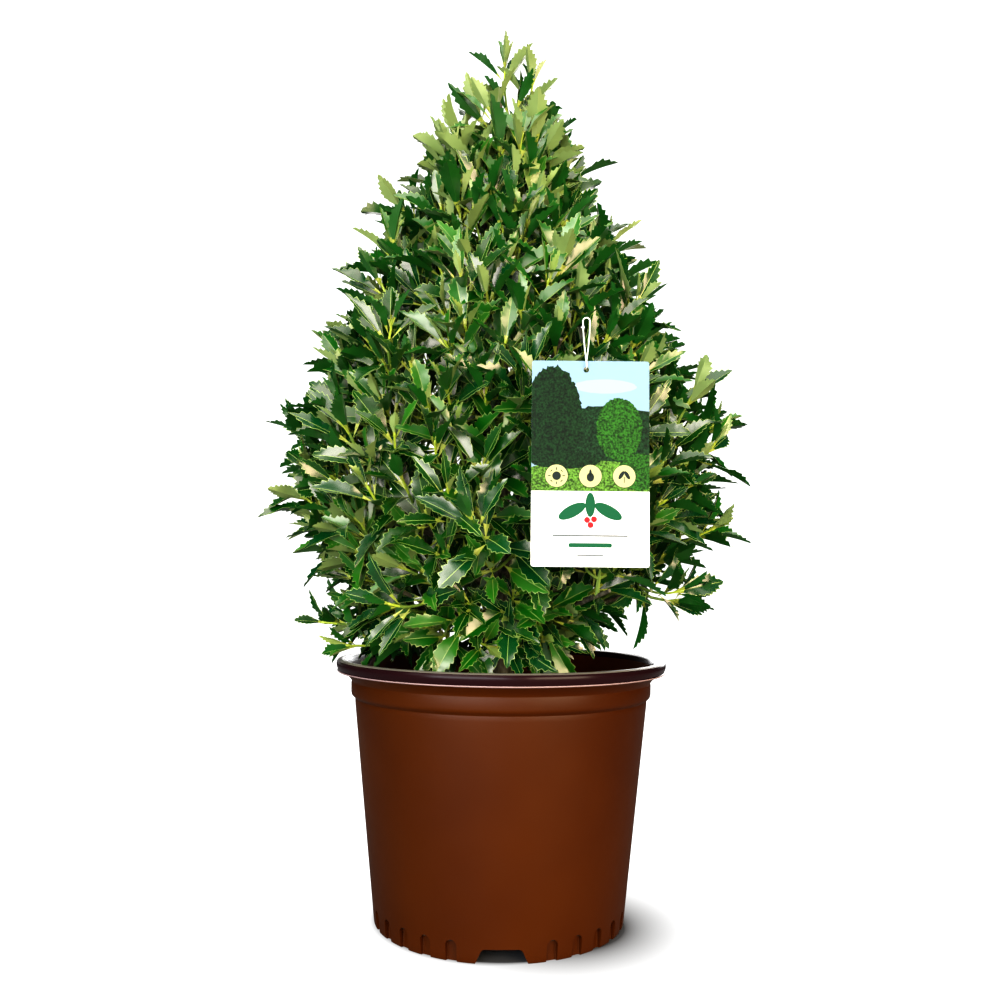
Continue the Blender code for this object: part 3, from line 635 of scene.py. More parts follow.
def build_chips():
    """One bark chip, a splinter with narrower ends, copied with a turn, a tilt and a size of its own."""
    deselect_all()
    bpy.ops.mesh.primitive_cube_add(size=1)
    chip = added("one_chip")
    bpy.ops.object.mode_set(mode="EDIT")
    bpy.ops.mesh.select_all(action="SELECT")
    bpy.ops.transform.resize(value=CHIP_SIZE, center_override=(0, 0, 0))
    for side, narrow, aside in CHIP_ENDS:
        pick("FACE", lambda co, side=side: co.x * side > CHIP_SIZE[0] * 0.4)
        bpy.ops.transform.resize(value=narrow, center_override=(0, aside, 0))
    bpy.ops.object.mode_set(mode="OBJECT")
    draw = random.Random(SOIL_SEED)
    copies = []
    for _ in range(CHIPS):
        radius = (SOIL_RADIUS - 0.008) * math.sqrt(draw.random())
        angle = draw.uniform(0, math.tau)
        x, y = radius * math.cos(angle), radius * math.sin(angle)
        turn = Matrix.Rotation(draw.uniform(0, math.tau), 4, "Z")
        turn = turn @ Matrix.Rotation(draw.gauss(0, 0.3), 4, "Y")
        place = Matrix.Translation((x, y, soil_height(x, y) + 0.0006))
        size = Matrix.Diagonal((draw.uniform(0.4, 1.3), draw.uniform(0.5, 1.3), draw.uniform(0.6, 1.2), 1))
        copies.append((place @ turn @ size, chip.data))
    made = merged_copies("bark_chips", copies)
    bpy.data.objects.remove(chip)
    return made


def merged_copies(name, copies):
    """One object from many placed copies of small meshes."""
    shape = bmesh.new()
    for place, mesh in copies:
        before = len(shape.verts)
        shape.from_mesh(mesh)
        shape.verts.ensure_lookup_table()
        bmesh.ops.transform(shape, matrix=place, verts=shape.verts[before:])
    mesh = bpy.data.meshes.new(name)
    shape.to_mesh(mesh)
    shape.free()
    return linked(name, mesh)


def mix_material(name, dark, light):
    material = plain_material(name, dark, 0.95)
    space = texture_space(material)
    grains = noise_node(material, space, 240, 5)
    finish(material, {"Base Color": ramp_node(material, grains, ((0.38, dark), (0.66, light)))})
    add_relief(material, noise_node(material, space, 520, 5), 0.0007, 0.8)
    return material


soil = build_soil()
soil.data.materials.append(mix_material("potting_mix", (0.010, 0.0062, 0.0045), (0.045, 0.030, 0.020)))
chips = build_chips()
chips.data.materials.append(mix_material("bark_chip", (0.030, 0.0170, 0.010), (0.085, 0.052, 0.032)))
for piece in (soil, chips):
    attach(piece, "root")
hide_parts("soil")
print("mix triangles", triangles(soil), "chips", triangles(chips))

# %% [markdown]
# ## The plan of the plant
#
# The solids were grown by a rule, and the finer plant grows by the same rule, written again here:
# one leaning trunk, tiers of boughs round it, a mass of foliage on each, and shoots whose tips are
# spread evenly over the crown's outline on a golden-angle spiral. The named sizes are the source's.

# %% Trunk, tiers and crown outline
TRUNK_TOP = 0.665
TRUNK_FOOT_RADIUS = 0.0095
TRUNK_TOP_RADIUS = 0.0022
FLARE = 0.0045
FLARE_HEIGHT = 0.022
LEAN = -0.005
SWAY = 0.003
CROWN_OUTLINE = (
    (0.2225, 0.150), (0.262, 0.184), (0.325, 0.2150), (0.425, 0.2150), (0.492, 0.189),
    (0.530, 0.156), (0.600, 0.129), (0.680, 0.091), (0.745, 0.053), (0.791, 0.008),
)
TIERS = (  # name, height and radius of the centres, count, first azimuth, foot radius and drop, bough rise
    ("low", 0.270, 0.106, 5, 18, 0.054, 0.016, 0.018),
    ("lower", 0.354, 0.128, 6, 36, 0.070, 0.026, 0.044),
    ("middle", 0.450, 0.110, 5, 0, 0.056, 0.032, 0.046),
    ("upper", 0.548, 0.075, 4, 70, 0.036, 0.032, 0.042),
    ("high", 0.640, 0.046, 3, 100, 0.020, 0.034, 0.034),
)
TOP_CENTRE_HEIGHT = 0.710
BOUGH_STAGGER = 0.009
GOLDEN_ANGLE = math.radians(137.508)
STEM_INSET = 0.052
STEM_STEP = 0.004
STEMS_END = 0.70


def trunk_point(height):
    share = max(0.0, (height - SOIL_LEVEL) / (TRUNK_TOP - SOIL_LEVEL))
    return Vector((LEAN * share**1.5, SWAY * share * math.sin(math.pi * min(share, 1.2)), height))


def trunk_radius(height):
    share = min(1.0, (height - SOIL_LEVEL) / (TRUNK_TOP - SOIL_LEVEL))
    taper = TRUNK_FOOT_RADIUS + (TRUNK_TOP_RADIUS - TRUNK_FOOT_RADIUS) * share
    return taper + FLARE * math.exp(-((height - SOIL_LEVEL) / FLARE_HEIGHT) * 2)


def crown_radius(height):
    heights, radii = zip(*CROWN_OUTLINE)
    return float(np.interp(height, heights, radii))


def polar(radius, azimuth, height):
    angle = math.radians(azimuth)
    return Vector((radius * math.cos(angle), radius * math.sin(angle), height))


# %% The masses of foliage
class Mass:
    """One mass of foliage: its centre, the foot and tip of its stem, and where its bough leaves the trunk."""

    def __init__(self, name, centre, foot, bough_start=None):
        self.name, self.centre, self.foot, self.bough_start = name, centre, foot, bough_start
        self.direction = (centre - foot).normalized()
        self.tip = centre.copy()
        for _ in range(40):
            onward = self.tip + self.direction * STEM_STEP
            reach = (onward - trunk_point(onward.z)).length
            if reach > crown_radius(onward.z) - STEM_INSET or onward.z > STEMS_END:
                break
            self.tip = onward


def plan_masses():
    made = []
    for tier, height, radius, count, first, foot_radius, foot_drop, rise in TIERS:
        for index in range(count):
            azimuth = first + 360 / count * index
            axis = trunk_point(height)
            axis.z = 0
            centre = axis + polar(radius, azimuth, height)
            foot = axis + polar(foot_radius, azimuth, height - foot_drop)
            start = foot.z - rise - BOUGH_STAGGER * (index % 2)
            made.append(Mass(f"{tier}_{index + 1}", centre, foot, start))
    top = Mass("top", trunk_point(TOP_CENTRE_HEIGHT), trunk_point(TRUNK_TOP))
    top.tip = trunk_point(TRUNK_TOP) + Vector((-0.001, 0.0, 0.075))
    made.append(top)
    return made


masses = plan_masses()
print("masses", len(masses))

# %% [markdown]
# ## Copies that bend
#
# A few thousand twigs and leaves would be far too slow to add one by one. Each is modelled once.
# Its points are then read into an array, bent and placed for every copy at a stroke, and all the
# copies of a kind are written as one mesh.

# %% Templates and joined meshes
def read(items, name, kind=int, width=1):
    """One value, or one row of values, for each item of a mesh."""
    values = np.zeros(len(items) * width, kind)
    items.foreach_get(name, values)
    return values.reshape(-1, width) if width > 1 else values


class Template:
    """The points, faces and material numbers of a modelled shape, which is removed once it is read."""

    def __init__(self, made):
        mesh = made.data
        self.points = read(mesh.vertices, "co", float, 3)
        self.corners = read(mesh.loops, "vertex_index")
        self.starts = read(mesh.polygons, "loop_start")
        self.materials = read(mesh.polygons, "material_index")
        self.triangles = triangles(made)
        bpy.data.objects.remove(made)


def joined_mesh(name, parts, materials):
    """One object from (template, points of one copy, material number of each face) for every copy."""
    points, corners, starts, numbers = [], [], [], []
    points_before = corners_before = 0
    for template, placed, face_numbers in parts:
        points.append(placed)
        corners.append(template.corners + points_before)
        starts.append(template.starts + corners_before)
        numbers.append(face_numbers)
        points_before += len(placed)
        corners_before += len(template.corners)
    mesh = bpy.data.meshes.new(name)
    mesh.vertices.add(points_before)
    mesh.loops.add(corners_before)
    starts = np.concatenate(starts)
    mesh.polygons.add(len(starts))
    mesh.vertices.foreach_set("co", np.concatenate(points).astype(np.float32).ravel())
    mesh.loops.foreach_set("vertex_index", np.concatenate(corners).astype(np.int32))
    mesh.polygons.foreach_set("loop_start", starts.astype(np.int32))
    mesh.polygons.foreach_set("material_index", np.concatenate(numbers).astype(np.int32))
    for material in materials:
        mesh.materials.append(material)
    mesh.update(calc_edges=True)
    mesh.validate()
    return linked(name, mesh)


def swept(template, route, radii):
    """A tube's points along a route: its height becomes the place on the route, its sides the girth."""
    route = np.array(route, float)
    stations = np.linspace(0, 1, len(route))
    place = template.points[:, 2]
    tangents = np.gradient(route, axis=0)
    tangents /= np.linalg.norm(tangents, axis=1)[:, None]
    middle_way = tangents.mean(0)
    reference = np.cross(middle_way, np.eye(3)[np.argmin(np.abs(middle_way))])
    centre = np.stack([np.interp(place, stations, route[:, axis]) for axis in range(3)], 1)
    along = np.stack([np.interp(place, stations, tangents[:, axis]) for axis in range(3)], 1)
    side = np.cross(along, reference)
    side /= np.linalg.norm(side, axis=1)[:, None]
    up = np.cross(side, along)
    girth = np.interp(place, stations, radii)[:, None]
    return centre + (side * template.points[:, :1] + up * template.points[:, 1:2]) * girth


def tube_template(name, sides, rings):
    """A limb before it is bent: a unit cylinder with rings along it, closed at both ends."""
    deselect_all()
    bpy.ops.mesh.primitive_cylinder_add(vertices=sides, radius=1, depth=1, location=(0, 0, 0.5))
    made = added(name)
    bpy.ops.object.mode_set(mode="EDIT")
    for ring in range(1, rings):
        bpy.ops.mesh.select_all(action="SELECT")
        bpy.ops.mesh.bisect(plane_co=(0, 0, ring / rings), plane_no=(0, 0, 1))
    bpy.ops.object.mode_set(mode="OBJECT")
    return Template(made)


# %% [markdown]
# ## Trunk and boughs
#
# Young holly bark is smooth and grey-green, with fine furrows, leaf scars and a slight root flare.
# The trunk is a ring raised along the axis of the solid, then displaced by noise that is stretched
# along it. The boughs are one tube swept along each bough's own curve, with the same relief.

# %% Barked limbs
BOUGH_TO_TRUNK = 0.42
BOUGH_TIP_SHARE = 0.62
TWIG_RADIUS = 0.0022
BARK_RELIEF = 0.00045
TRUNK_RINGS = 90
BOUGH_OVERLAP = 0.012
BOUGH_STEPS = 8


def bark_relief(point, girth):
    """How far the bark stands out at a point: long furrows with short cross marks."""
    furrows = noise.fractal(Vector((point.x * 420, point.y * 420, point.z * 70)), 0.8, 2.0, 3)
    marks = noise.noise(Vector((point.x * 90, point.y * 90, point.z * 900)))
    return (furrows * 0.7 + marks * 0.3) * BARK_RELIEF * min(1.0, girth / 0.006)


def build_trunk():
    deselect_all()
    foot = SOIL_LEVEL - 0.004
    bpy.ops.mesh.primitive_circle_add(vertices=28, radius=trunk_radius(SOIL_LEVEL), location=(0, 0, foot))
    made = added("barked_trunk")
    bpy.ops.object.mode_set(mode="EDIT")
    bpy.ops.mesh.select_mode(type="EDGE")
    bpy.ops.mesh.select_all(action="SELECT")
    bpy.ops.mesh.edge_face_add()
    before, radius = Vector((0, 0, foot)), trunk_radius(SOIL_LEVEL)
    for ring in range(1, TRUNK_RINGS + 1):
        height = foot + (TRUNK_TOP - foot) * ring / TRUNK_RINGS
        place = trunk_point(height)
        bpy.ops.mesh.extrude_region_move(TRANSFORM_OT_translate={"value": place - before})
        ratio = trunk_radius(max(height, SOIL_LEVEL)) / radius
        bpy.ops.transform.resize(value=(ratio, ratio, 1), center_override=place)
        before, radius = place, radius * ratio
    bpy.ops.object.mode_set(mode="OBJECT")
    for vert in made.data.vertices:
        axis = trunk_point(vert.co.z)
        out = (vert.co - axis).normalized()
        vert.co += out * bark_relief(vert.co, trunk_radius(max(vert.co.z, SOIL_LEVEL)))
    point_outwards(made)
    smooth(made, 50)
    return made


def curve_point(start, bend, end, t):
    """A point of the curve that leaves its start towards a bend and comes to its end from there."""
    return start * (1 - t) ** 2 + bend * 2 * t * (1 - t) + end * t * t


def bough_route(mass):
    """A bough's points and radii, as in the source: out from the trunk, turning up into its mass."""
    start = trunk_point(mass.bough_start)
    end = mass.foot - mass.direction * BOUGH_OVERLAP
    outward = Vector((end.x - start.x, end.y - start.y, 0)).normalized()
    span = (end - start).length
    bend = start + (outward + Vector((0, 0, 0.35))).normalized() * span * 0.55
    points = [curve_point(start, bend, end, step / BOUGH_STEPS) for step in range(BOUGH_STEPS + 1)]
    points.append(mass.foot + mass.direction * 0.001)
    base = trunk_radius(mass.bough_start) * BOUGH_TO_TRUNK
    tip = max(base * BOUGH_TIP_SHARE, TWIG_RADIUS + 0.0002)
    return points, [base + (tip - base) * step / 9 for step in range(10)]


def build_boughs():
    tube = tube_template("bough_tube", 12, 18)
    parts = []
    for mass in masses:
        if mass.bough_start is None:
            continue
        route, radii = bough_route(mass)
        placed = swept(tube, route, radii)
        relief = np.array([bark_relief(Vector(point), 0.004) for point in placed])
        axis = swept(tube, route, [1e-6] * len(radii))
        placed += (placed - axis) / np.mean(radii) * relief[:, None]
        parts.append((tube, placed, tube.materials))
    return joined_mesh("barked_boughs", parts, [])


def bark_material():
    """Grey-green bark: furrows and lenticels from stretched noise."""
    material = plain_material("holly_bark", (0.10, 0.085, 0.055), 0.8)
    space = texture_space(material, (1, 1, 0.25))
    furrows = noise_node(material, space, 330, 5)
    stops = ((0.32, (0.040, 0.034, 0.022)), (0.50, (0.105, 0.092, 0.060)), (0.70, (0.190, 0.170, 0.120)))
    finish(material, {"Base Color": ramp_node(material, furrows, stops)})
    add_relief(material, furrows, 0.0006, 0.9)
    return material


trunk = build_trunk()
boughs = build_boughs()
smooth(boughs, 50)
bark = bark_material()
for limb, slot in ((trunk, "bark"), (boughs, "young_wood")):
    limb.data.materials.append(bark)
    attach(limb, "root")
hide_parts("trunk")
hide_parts(*[f"bough_{mass.name}" for mass in masses if mass.bough_start is not None])
print("trunk", triangles(trunk), "boughs", triangles(boughs))

# %% [markdown]
# ## One holly leaf
#
# The leaf is a narrow wedge from its stalk to the middle, and widest beyond it, with five or six
# small spines a side that point forwards and one at the tip. A pale line runs round its margin and
# down its midrib, and its foot is yellow. It is drawn flat: a grid whose rows are resized to the
# leaf's width, with the margin and the rib as columns of their own, so that each takes a plain
# colour. A second, coarser sheet is the underside, and the two are welded along the outline.

# %% Leaf outline
LEAF_LENGTH = 0.043
STALK_SHARE = 0.11
MARGIN_WIDTH = 0.00030
RIB_HALF_WIDTH = 0.00024
MARGIN_DROP = 0.00028
SPINE_FILL = 0.80
KEEL_DROP = 0.00035
TOP_COLUMNS = 5
UNDER_COLUMNS = 2
BLADE, PALE, UNDER, STALK = range(4)
LEAF_SLOTS = [bpy.data.materials.new(name) for name in ("blade", "margin", "underside", "stalk")]
LEAF_KINDS = {  # rows as (place along, half width), then spines as (place, half width) in each later gap
    "broad": (
        ((-0.11, 0.018), (0.00, 0.020), (0.15, 0.054), (0.28, 0.101), (0.41, 0.139), (0.54, 0.156),
         (0.67, 0.146), (0.79, 0.112), (0.90, 0.064), (1.07, 0.004)),
        ((0.368, 0.145), (0.508, 0.184), (0.645, 0.196), (0.776, 0.172), (0.888, 0.126), (0.990, 0.056)),
    ),
    "narrow": (
        ((-0.11, 0.016), (0.00, 0.018), (0.18, 0.050), (0.34, 0.087), (0.49, 0.112), (0.64, 0.112),
         (0.78, 0.085), (0.90, 0.047), (1.08, 0.004)),
        ((0.445, 0.122), (0.603, 0.149), (0.752, 0.143), (0.884, 0.102), (0.990, 0.044)),
    ),
    "blunt": (
        ((-0.11, 0.018), (0.00, 0.020), (0.18, 0.059), (0.34, 0.103), (0.50, 0.143), (0.65, 0.156),
         (0.78, 0.135), (0.90, 0.083), (1.05, 0.004)),
        ((0.446, 0.147), (0.608, 0.191), (0.758, 0.199), (0.886, 0.162), (0.984, 0.074)),
    ),
}


def leaf_half_width(kind, along):
    """Half the width of the blade between its spines, at a place along it."""
    rows = LEAF_KINDS[kind][0]
    return np.interp(along, [row[0] for row in rows], [row[1] for row in rows])


def column_places(columns, width):
    """How far from the midrib each column of points lies, on one side, from the outline inwards."""
    if columns == UNDER_COLUMNS:
        return [width]
    margin = width - min(MARGIN_WIDTH, width * 0.3)
    return [width, margin, min(RIB_HALF_WIDTH, width * 0.3)]


# %% Leaf sheets
def leaf_sheet(kind, columns):
    """A flat grid shaped to the leaf's outline, row by row and column by column, with its spines."""
    rows, spines = LEAF_KINDS[kind]
    deselect_all()
    bpy.ops.mesh.primitive_grid_add(x_subdivisions=columns, y_subdivisions=len(rows) - 1, size=1)
    made = added("leaf_sheet")
    for slot in LEAF_SLOTS:
        made.data.materials.append(slot)
    bpy.ops.object.mode_set(mode="EDIT")
    across = columns + 1
    faces = len(rows) - 1
    if columns == UNDER_COLUMNS:
        paint(range(2 * columns, faces * columns), UNDER)
    else:
        paint([row * columns + column for row in range(faces) for column in (0, 2, 4)], PALE)
        paint([2 * columns + 2], STALK)
    paint(range(2 * columns), STALK)
    for index, (place, half_width) in enumerate(rows):
        along, width = place * LEAF_LENGTH, half_width * LEAF_LENGTH
        start = index / (len(rows) - 1) - 0.5
        pick("VERT", numbers=range(index * across, (index + 1) * across))
        bpy.ops.transform.translate(value=(0, along - start, 0))
        for column, target in enumerate(column_places(columns, width)):
            now = 0.5 - column / columns
            pick("VERT", numbers=(index * across + column, index * across + columns - column))
            bpy.ops.transform.resize(value=(target / now, 1, 1), center_override=(0, along, 0))
    raise_columns(columns, len(rows))
    for gap, (place, half_width) in enumerate(spines, len(rows) - 1 - len(spines)):
        add_spine(kind, gap, place, half_width, columns)
    for end in (rows[0][0], rows[-1][0]):
        pick("VERT", lambda co, end=end: abs(co.y - end * LEAF_LENGTH) < HAIR)
        bpy.ops.mesh.merge(type="CENTER")
    bpy.ops.object.mode_set(mode="OBJECT")
    return made


def paint(numbers, slot):
    """Gives the faces of these numbers a material slot."""
    pick("FACE", numbers=numbers)
    bpy.context.object.active_material_index = slot
    bpy.ops.object.material_slot_assign()


def raise_columns(columns, rows):
    """Turns the margins of both sheets down at the outline, and drops the keel of the underside."""
    inner = range(1, rows - 1)
    edges = [row * (columns + 1) + column for row in inner for column in (0, columns)]
    if columns == UNDER_COLUMNS:
        pick("VERT", numbers=[row * (columns + 1) + 1 for row in inner])
        bpy.ops.transform.translate(value=(0, 0, -KEEL_DROP))
    pick("VERT", numbers=edges)
    bpy.ops.transform.translate(value=(0, 0, -MARGIN_DROP))


def add_spine(kind, gap, place, half_width, columns):
    """Splits the outline and the margin's inner line between two rows, and draws them out to a spine."""
    ends = LEAF_KINDS[kind][0][gap : gap + 2]
    lines = zip(*(column_places(columns, width * LEAF_LENGTH) for _, width in ends))
    centre_y = (ends[0][0] + ends[1][0]) / 2 * LEAF_LENGTH
    step_y = place * LEAF_LENGTH - centre_y
    centres = [(low_x + high_x) / 2 for low_x, high_x in lines][: 2 if columns == TOP_COLUMNS else 1]
    step_x = half_width * LEAF_LENGTH - centres[0]
    for fill, centre_x in zip((1.0, SPINE_FILL), centres):

        def on_line(co):
            return abs(co.y - centre_y) < 20 * HAIR and abs(abs(co.x) - centre_x) < 15 * HAIR

        pick("EDGE", on_line)
        bpy.ops.mesh.subdivide(number_cuts=1)
        pick("VERT", on_line)
        wider = (centre_x + step_x * fill) / centre_x
        bpy.ops.transform.resize(value=(wider, 1, 1), center_override=(0, centre_y, 0))
        bpy.ops.transform.translate(value=(0, step_y * fill, 0))


def leaf_template(kind):
    leaf = join([leaf_sheet(kind, TOP_COLUMNS), leaf_sheet(kind, UNDER_COLUMNS)], "leaf")
    point_outwards(leaf, merge=2e-6)
    made = Template(leaf)
    made.kind = kind
    half_widths = leaf_half_width(kind, made.points[:, 1] / LEAF_LENGTH) * LEAF_LENGTH
    made.edge = np.abs(made.points[:, 0]) / half_widths
    return made


leaf_templates = [leaf_template(kind) for kind in LEAF_KINDS]
for slot in LEAF_SLOTS:
    bpy.data.materials.remove(slot)
for template in leaf_templates:
    print("leaf", template.kind, "faces", len(template.starts), "triangles", template.triangles)

# %% [markdown]
# ## Shoots
#
# Each shoot ends at a place on the crown's outline, a leaf's length inside it, and turns towards the
# light at its end: nearly level at the foot of the crown, upright at its top. The first few of each
# mass fork from its stem, each as far from the others as can be, and the rest fork from those.

# %% Targets on the crown
SHOOTS = 470
SHOOT_SEED = 19
SHOOT_INSET = 0.026
SPRAY_SHARE = 0.14
LOW_RIGHT_HOLLOW = 0.058
LEAFY_OUTLINE = (  # height and radius that most leaf tips reach; the sprays go on to the crown's outline
    (0.222, 0.114), (0.250, 0.138), (0.290, 0.163), (0.320, 0.178), (0.340, 0.196), (0.370, 0.198),
    (0.400, 0.190), (0.440, 0.182), (0.480, 0.170), (0.510, 0.150), (0.540, 0.131), (0.570, 0.120),
    (0.600, 0.104), (0.630, 0.088), (0.660, 0.077), (0.690, 0.066), (0.720, 0.048), (0.750, 0.034),
)
PRIMARY_SHOOTS = 5
PRIMARY_RADIUS = 0.0019
SIDE_RADIUS = 0.0014
FORK_PLACES = (0.25, 0.38, 0.5, 0.62)
LEADER_SHOOTS = (  # tips of the leading shoots at the top, as (x, y, height)
    (-0.002, 0.000, 0.760), (0.024, -0.006, 0.742), (-0.024, 0.004, 0.712), (-0.046, -0.006, 0.690),
    (0.054, -0.010, 0.652), (0.012, 0.026, 0.704), (-0.014, -0.026, 0.702), (0.010, -0.012, 0.716),
    (0.030, 0.022, 0.668), (-0.026, 0.036, 0.680), (0.022, -0.034, 0.664), (-0.056, 0.020, 0.656),
)
LEADER_FOOT = 0.700
LOW_SPRAYS = (  # tips of long low shoots that hang out over the rim
    (-0.150, -0.030, 0.250), (-0.124, -0.060, 0.233), (-0.142, 0.060, 0.250), (0.060, 0.140, 0.248),
)
SHOOT_RISE = ((0.23, 0.27, 0.34, 0.46, 0.56, 0.64, 0.72), (4, 18, 38, 54, 66, 76, 86))


def surface_targets():
    """Even places for the shoots' ends over the crown, below the leaders."""
    draw = random.Random(SHOOT_SEED)
    bottom, top = CROWN_OUTLINE[0][0], CROWN_OUTLINE[-1][0]
    slices = 400
    heights = [bottom + (top - bottom) * (step + 0.5) / slices for step in range(slices)]
    total = sum(crown_radius(height) + 0.02 for height in heights)
    made = []
    reached = 0.0
    for height in heights:
        reached += crown_radius(height) + 0.02
        while total * (len(made) + 0.5) / SHOOTS <= reached:
            place = max(height, bottom + 0.018) + draw.uniform(-0.008, 0.008)
            angle = len(made) * GOLDEN_ANGLE + draw.uniform(-0.06, 0.06)
            hollow = max(0.0, math.cos(angle)) * float(np.interp(place, (0.25, 0.30), (LOW_RIGHT_HOLLOW, 0)))
            reach = float(np.interp(place, *zip(*LEAFY_OUTLINE))) - hollow
            if draw.random() < SPRAY_SHARE and place > 0.26:
                reach = crown_radius(place)
            radius = max(0.004, reach - SHOOT_INSET - draw.uniform(0.0, 0.016))
            made.append(trunk_point(place) + Vector((math.cos(angle), math.sin(angle), 0)) * radius)
    return [place for place in made if place.z < LEADER_FOOT - 0.02]


def tip_facing(place, draw):
    """Where a shoot's tip points: outwards at the crown's foot, ever more upright towards its top."""
    outward = place - trunk_point(place.z)
    outward.z = 0
    outward = outward.normalized() if outward.length > 1e-4 else Vector((1, 0, 0))
    rise = math.radians(np.interp(place.z, *SHOOT_RISE))
    facing = outward * math.cos(rise) + Vector((0, 0, math.sin(rise)))
    jitter = Vector((draw.gauss(0, 0.20), draw.gauss(0, 0.20), draw.gauss(0, 0.16)))
    return (facing + jitter).normalized()


# %% Forking shoots
class Shoot:
    """A shoot that leaves its parent at one point and curves to end at another, facing the light."""

    def __init__(self, start, end, facing, mass, radius):
        self.start, self.end, self.mass, self.radius = start, end, mass, radius
        self.length = (end - start).length
        self.bend = end - facing * self.length * 0.45

    def point(self, t):
        return curve_point(self.start, self.bend, self.end, t)

    def along(self, t):
        return ((self.bend - self.start) * (1 - t) + (self.end - self.bend) * t).normalized()

def stem_fork(mass, target):
    """Where a shoot leaves the stem: below its target, so that it rises at about 45 degrees."""
    stem = mass.tip - mass.foot
    along = (target - mass.foot).dot(mass.direction)
    beside = (target - mass.foot - mass.direction * along).length
    return mass.foot + stem * min(0.95, max(0.12, (along - beside) / stem.length))


def shoot_fork(parent, target):
    """Where a shoot leaves another one: the place with the widest open angle towards its target."""


    def openness(t):
        return parent.along(t).dot((target - parent.point(t)).normalized())

    return parent.point(max(FORK_PLACES, key=openness))


def grow_mass(mass, targets, draw):
    """The stem's own shoots first, each as far from the others as can be, then those that fork from them."""
    targets = list(targets)
    ends = [mass.tip]
    made = []
    while targets and len(made) < PRIMARY_SHOOTS:
        target = max(targets, key=lambda place: min((place - end).length for end in ends))
        targets.remove(target)
        ends.append(target)
        made.append(Shoot(stem_fork(mass, target), target, tip_facing(target, draw), mass, PRIMARY_RADIUS))
    primary = list(made)
    for target in targets:
        parent = min(primary, key=lambda shoot: (shoot.end - target).length) if primary else None
        start = shoot_fork(parent, target) if parent else stem_fork(mass, target)
        made.append(Shoot(start, target, tip_facing(target, draw), mass, SIDE_RADIUS))
    return made


def grow_shoots():
    draw = random.Random(SHOOT_SEED + 1)
    by_mass = {mass.name: [] for mass in masses}
    for target in surface_targets() + [Vector(place) for place in LOW_SPRAYS]:
        nearest = min(masses, key=lambda mass: (mass.centre - target).length)
        by_mass[nearest.name].append(target)
    by_mass["top"] = [Vector(place) for place in LEADER_SHOOTS]
    made = []
    for mass in masses:
        made += grow_mass(mass, by_mass[mass.name], draw)
    return made


shoots = grow_shoots()
print("shoots", len(shoots))

# %% [markdown]
# ## Leaves on their shoots
#
# Holly leaves climb a shoot in a spiral, a golden angle apart, and crowd into a star at its tip. The
# youngest stand nearly upright and are small and yellow-green; older ones lean ever further out.
# Their glossy side faces the tip of the shoot and the light. A leaf that would leave the crown, pass
# through the pot's lip or stand in front of the tag is shortened and turned in, and left out if it
# still doesn't fit. Low on the right the rim stays bare, as on the real plant.

# %% Leaf places
NODE_STEPS = (0.001, 0.003, 0.006, 0.010, 0.015, 0.021, 0.030, 0.040, 0.052, 0.066)
SPREADS = (11, 25, 37, 47, 54, 60, 65, 69, 72, 75)
SIZES = (0.55, 0.78, 0.92, 1.0, 1.03, 1.05, 1.03, 1.0, 1.0, 1.0)
LEAF_SEED = 31
LEAF_SPILL = 0.004
TAG_LOW, TAG_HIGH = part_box("tag")
LOOP_LOW, LOOP_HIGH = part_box("tag_loop")
KEPT_CLEAR = 0.0035
MOUTH_RADIUS = 0.1325
LOW_RIGHT_LIMIT = (0.130, 0.255)
LEAF_PROBES = (  # places along a leaf and across it, as shares of its length
    (0.30, 0.0), (0.5, 0.17), (0.5, -0.17), (0.75, 0.17), (0.75, -0.17), (0.9, 0.0), (1.06, 0.0),
)


class Leaf:
    """A leaf's root, direction, facing and shape."""

    def __init__(self, root, direction, facing, length, shoot, rank, draw):
        self.root, self.direction, self.shoot, self.rank = root, direction, shoot, rank
        side = direction.cross(facing).normalized()
        self.side = side
        self.facing = side.cross(direction).normalized()
        self.length = length
        self.width = draw.uniform(1.04, 1.30)
        self.fold = math.radians(draw.uniform(20, 48))
        self.arch = math.radians(draw.uniform(4, 26)) * (0.4 if rank < 2 else 1.0)
        self.twist = math.radians(draw.gauss(0, 9))
        self.wave = draw.uniform(0.006, 0.024)
        self.phase = draw.uniform(0, math.tau)
        self.kind = draw.choice((0, 0, 1, 2))
        self.pallor = draw.random()

    def place(self, t, across=0.0):
        """Roughly where a share of the leaf's length lies, along it and across it, with its arch."""
        bent = self.arch * t
        ahead = self.length * (math.sin(bent) / self.arch)
        down = self.length * (1 - math.cos(bent)) / self.arch
        return self.root + self.direction * ahead - self.facing * down + self.side * self.length * across


def blocked(point):
    """True where a leaf would leave the crown, cut the pot's lip or stand in the tag's space."""
    across = (point - trunk_point(point.z)).to_2d().length
    if point.z > CAD_HIGH.z - 0.001 or across > crown_radius(point.z) + LEAF_SPILL:
        return True
    if point.x > LOW_RIGHT_LIMIT[0] and point.z < LOW_RIGHT_LIMIT[1]:
        return True
    if point.z < POT_HEIGHT + 0.002:
        round_axis = point.to_2d().length
        if point.z < SOIL_LEVEL + 0.003 or MOUTH_RADIUS - 0.005 < round_axis < LIP_RADIUS + 0.002:
            return True
    for low, high in ((TAG_LOW, TAG_HIGH), (LOOP_LOW, LOOP_HIGH)):
        beside = low.x - KEPT_CLEAR < point.x < high.x + KEPT_CLEAR
        level = low.z - KEPT_CLEAR < point.z < high.z + KEPT_CLEAR
        if beside and level and point.y < high.y + KEPT_CLEAR:
            return True
    return False


def droop_at(height):
    return float(np.interp(height, (0.24, 0.30, 0.42), (-0.06, 0.12, 0.30)))


def outward_turn(height):
    """How much leaves turn their upper side out of the crown: strongly low down, hardly at the top."""
    return float(np.interp(height, (0.45, 0.62, 0.72), (0.65, 0.45, 0.15)))


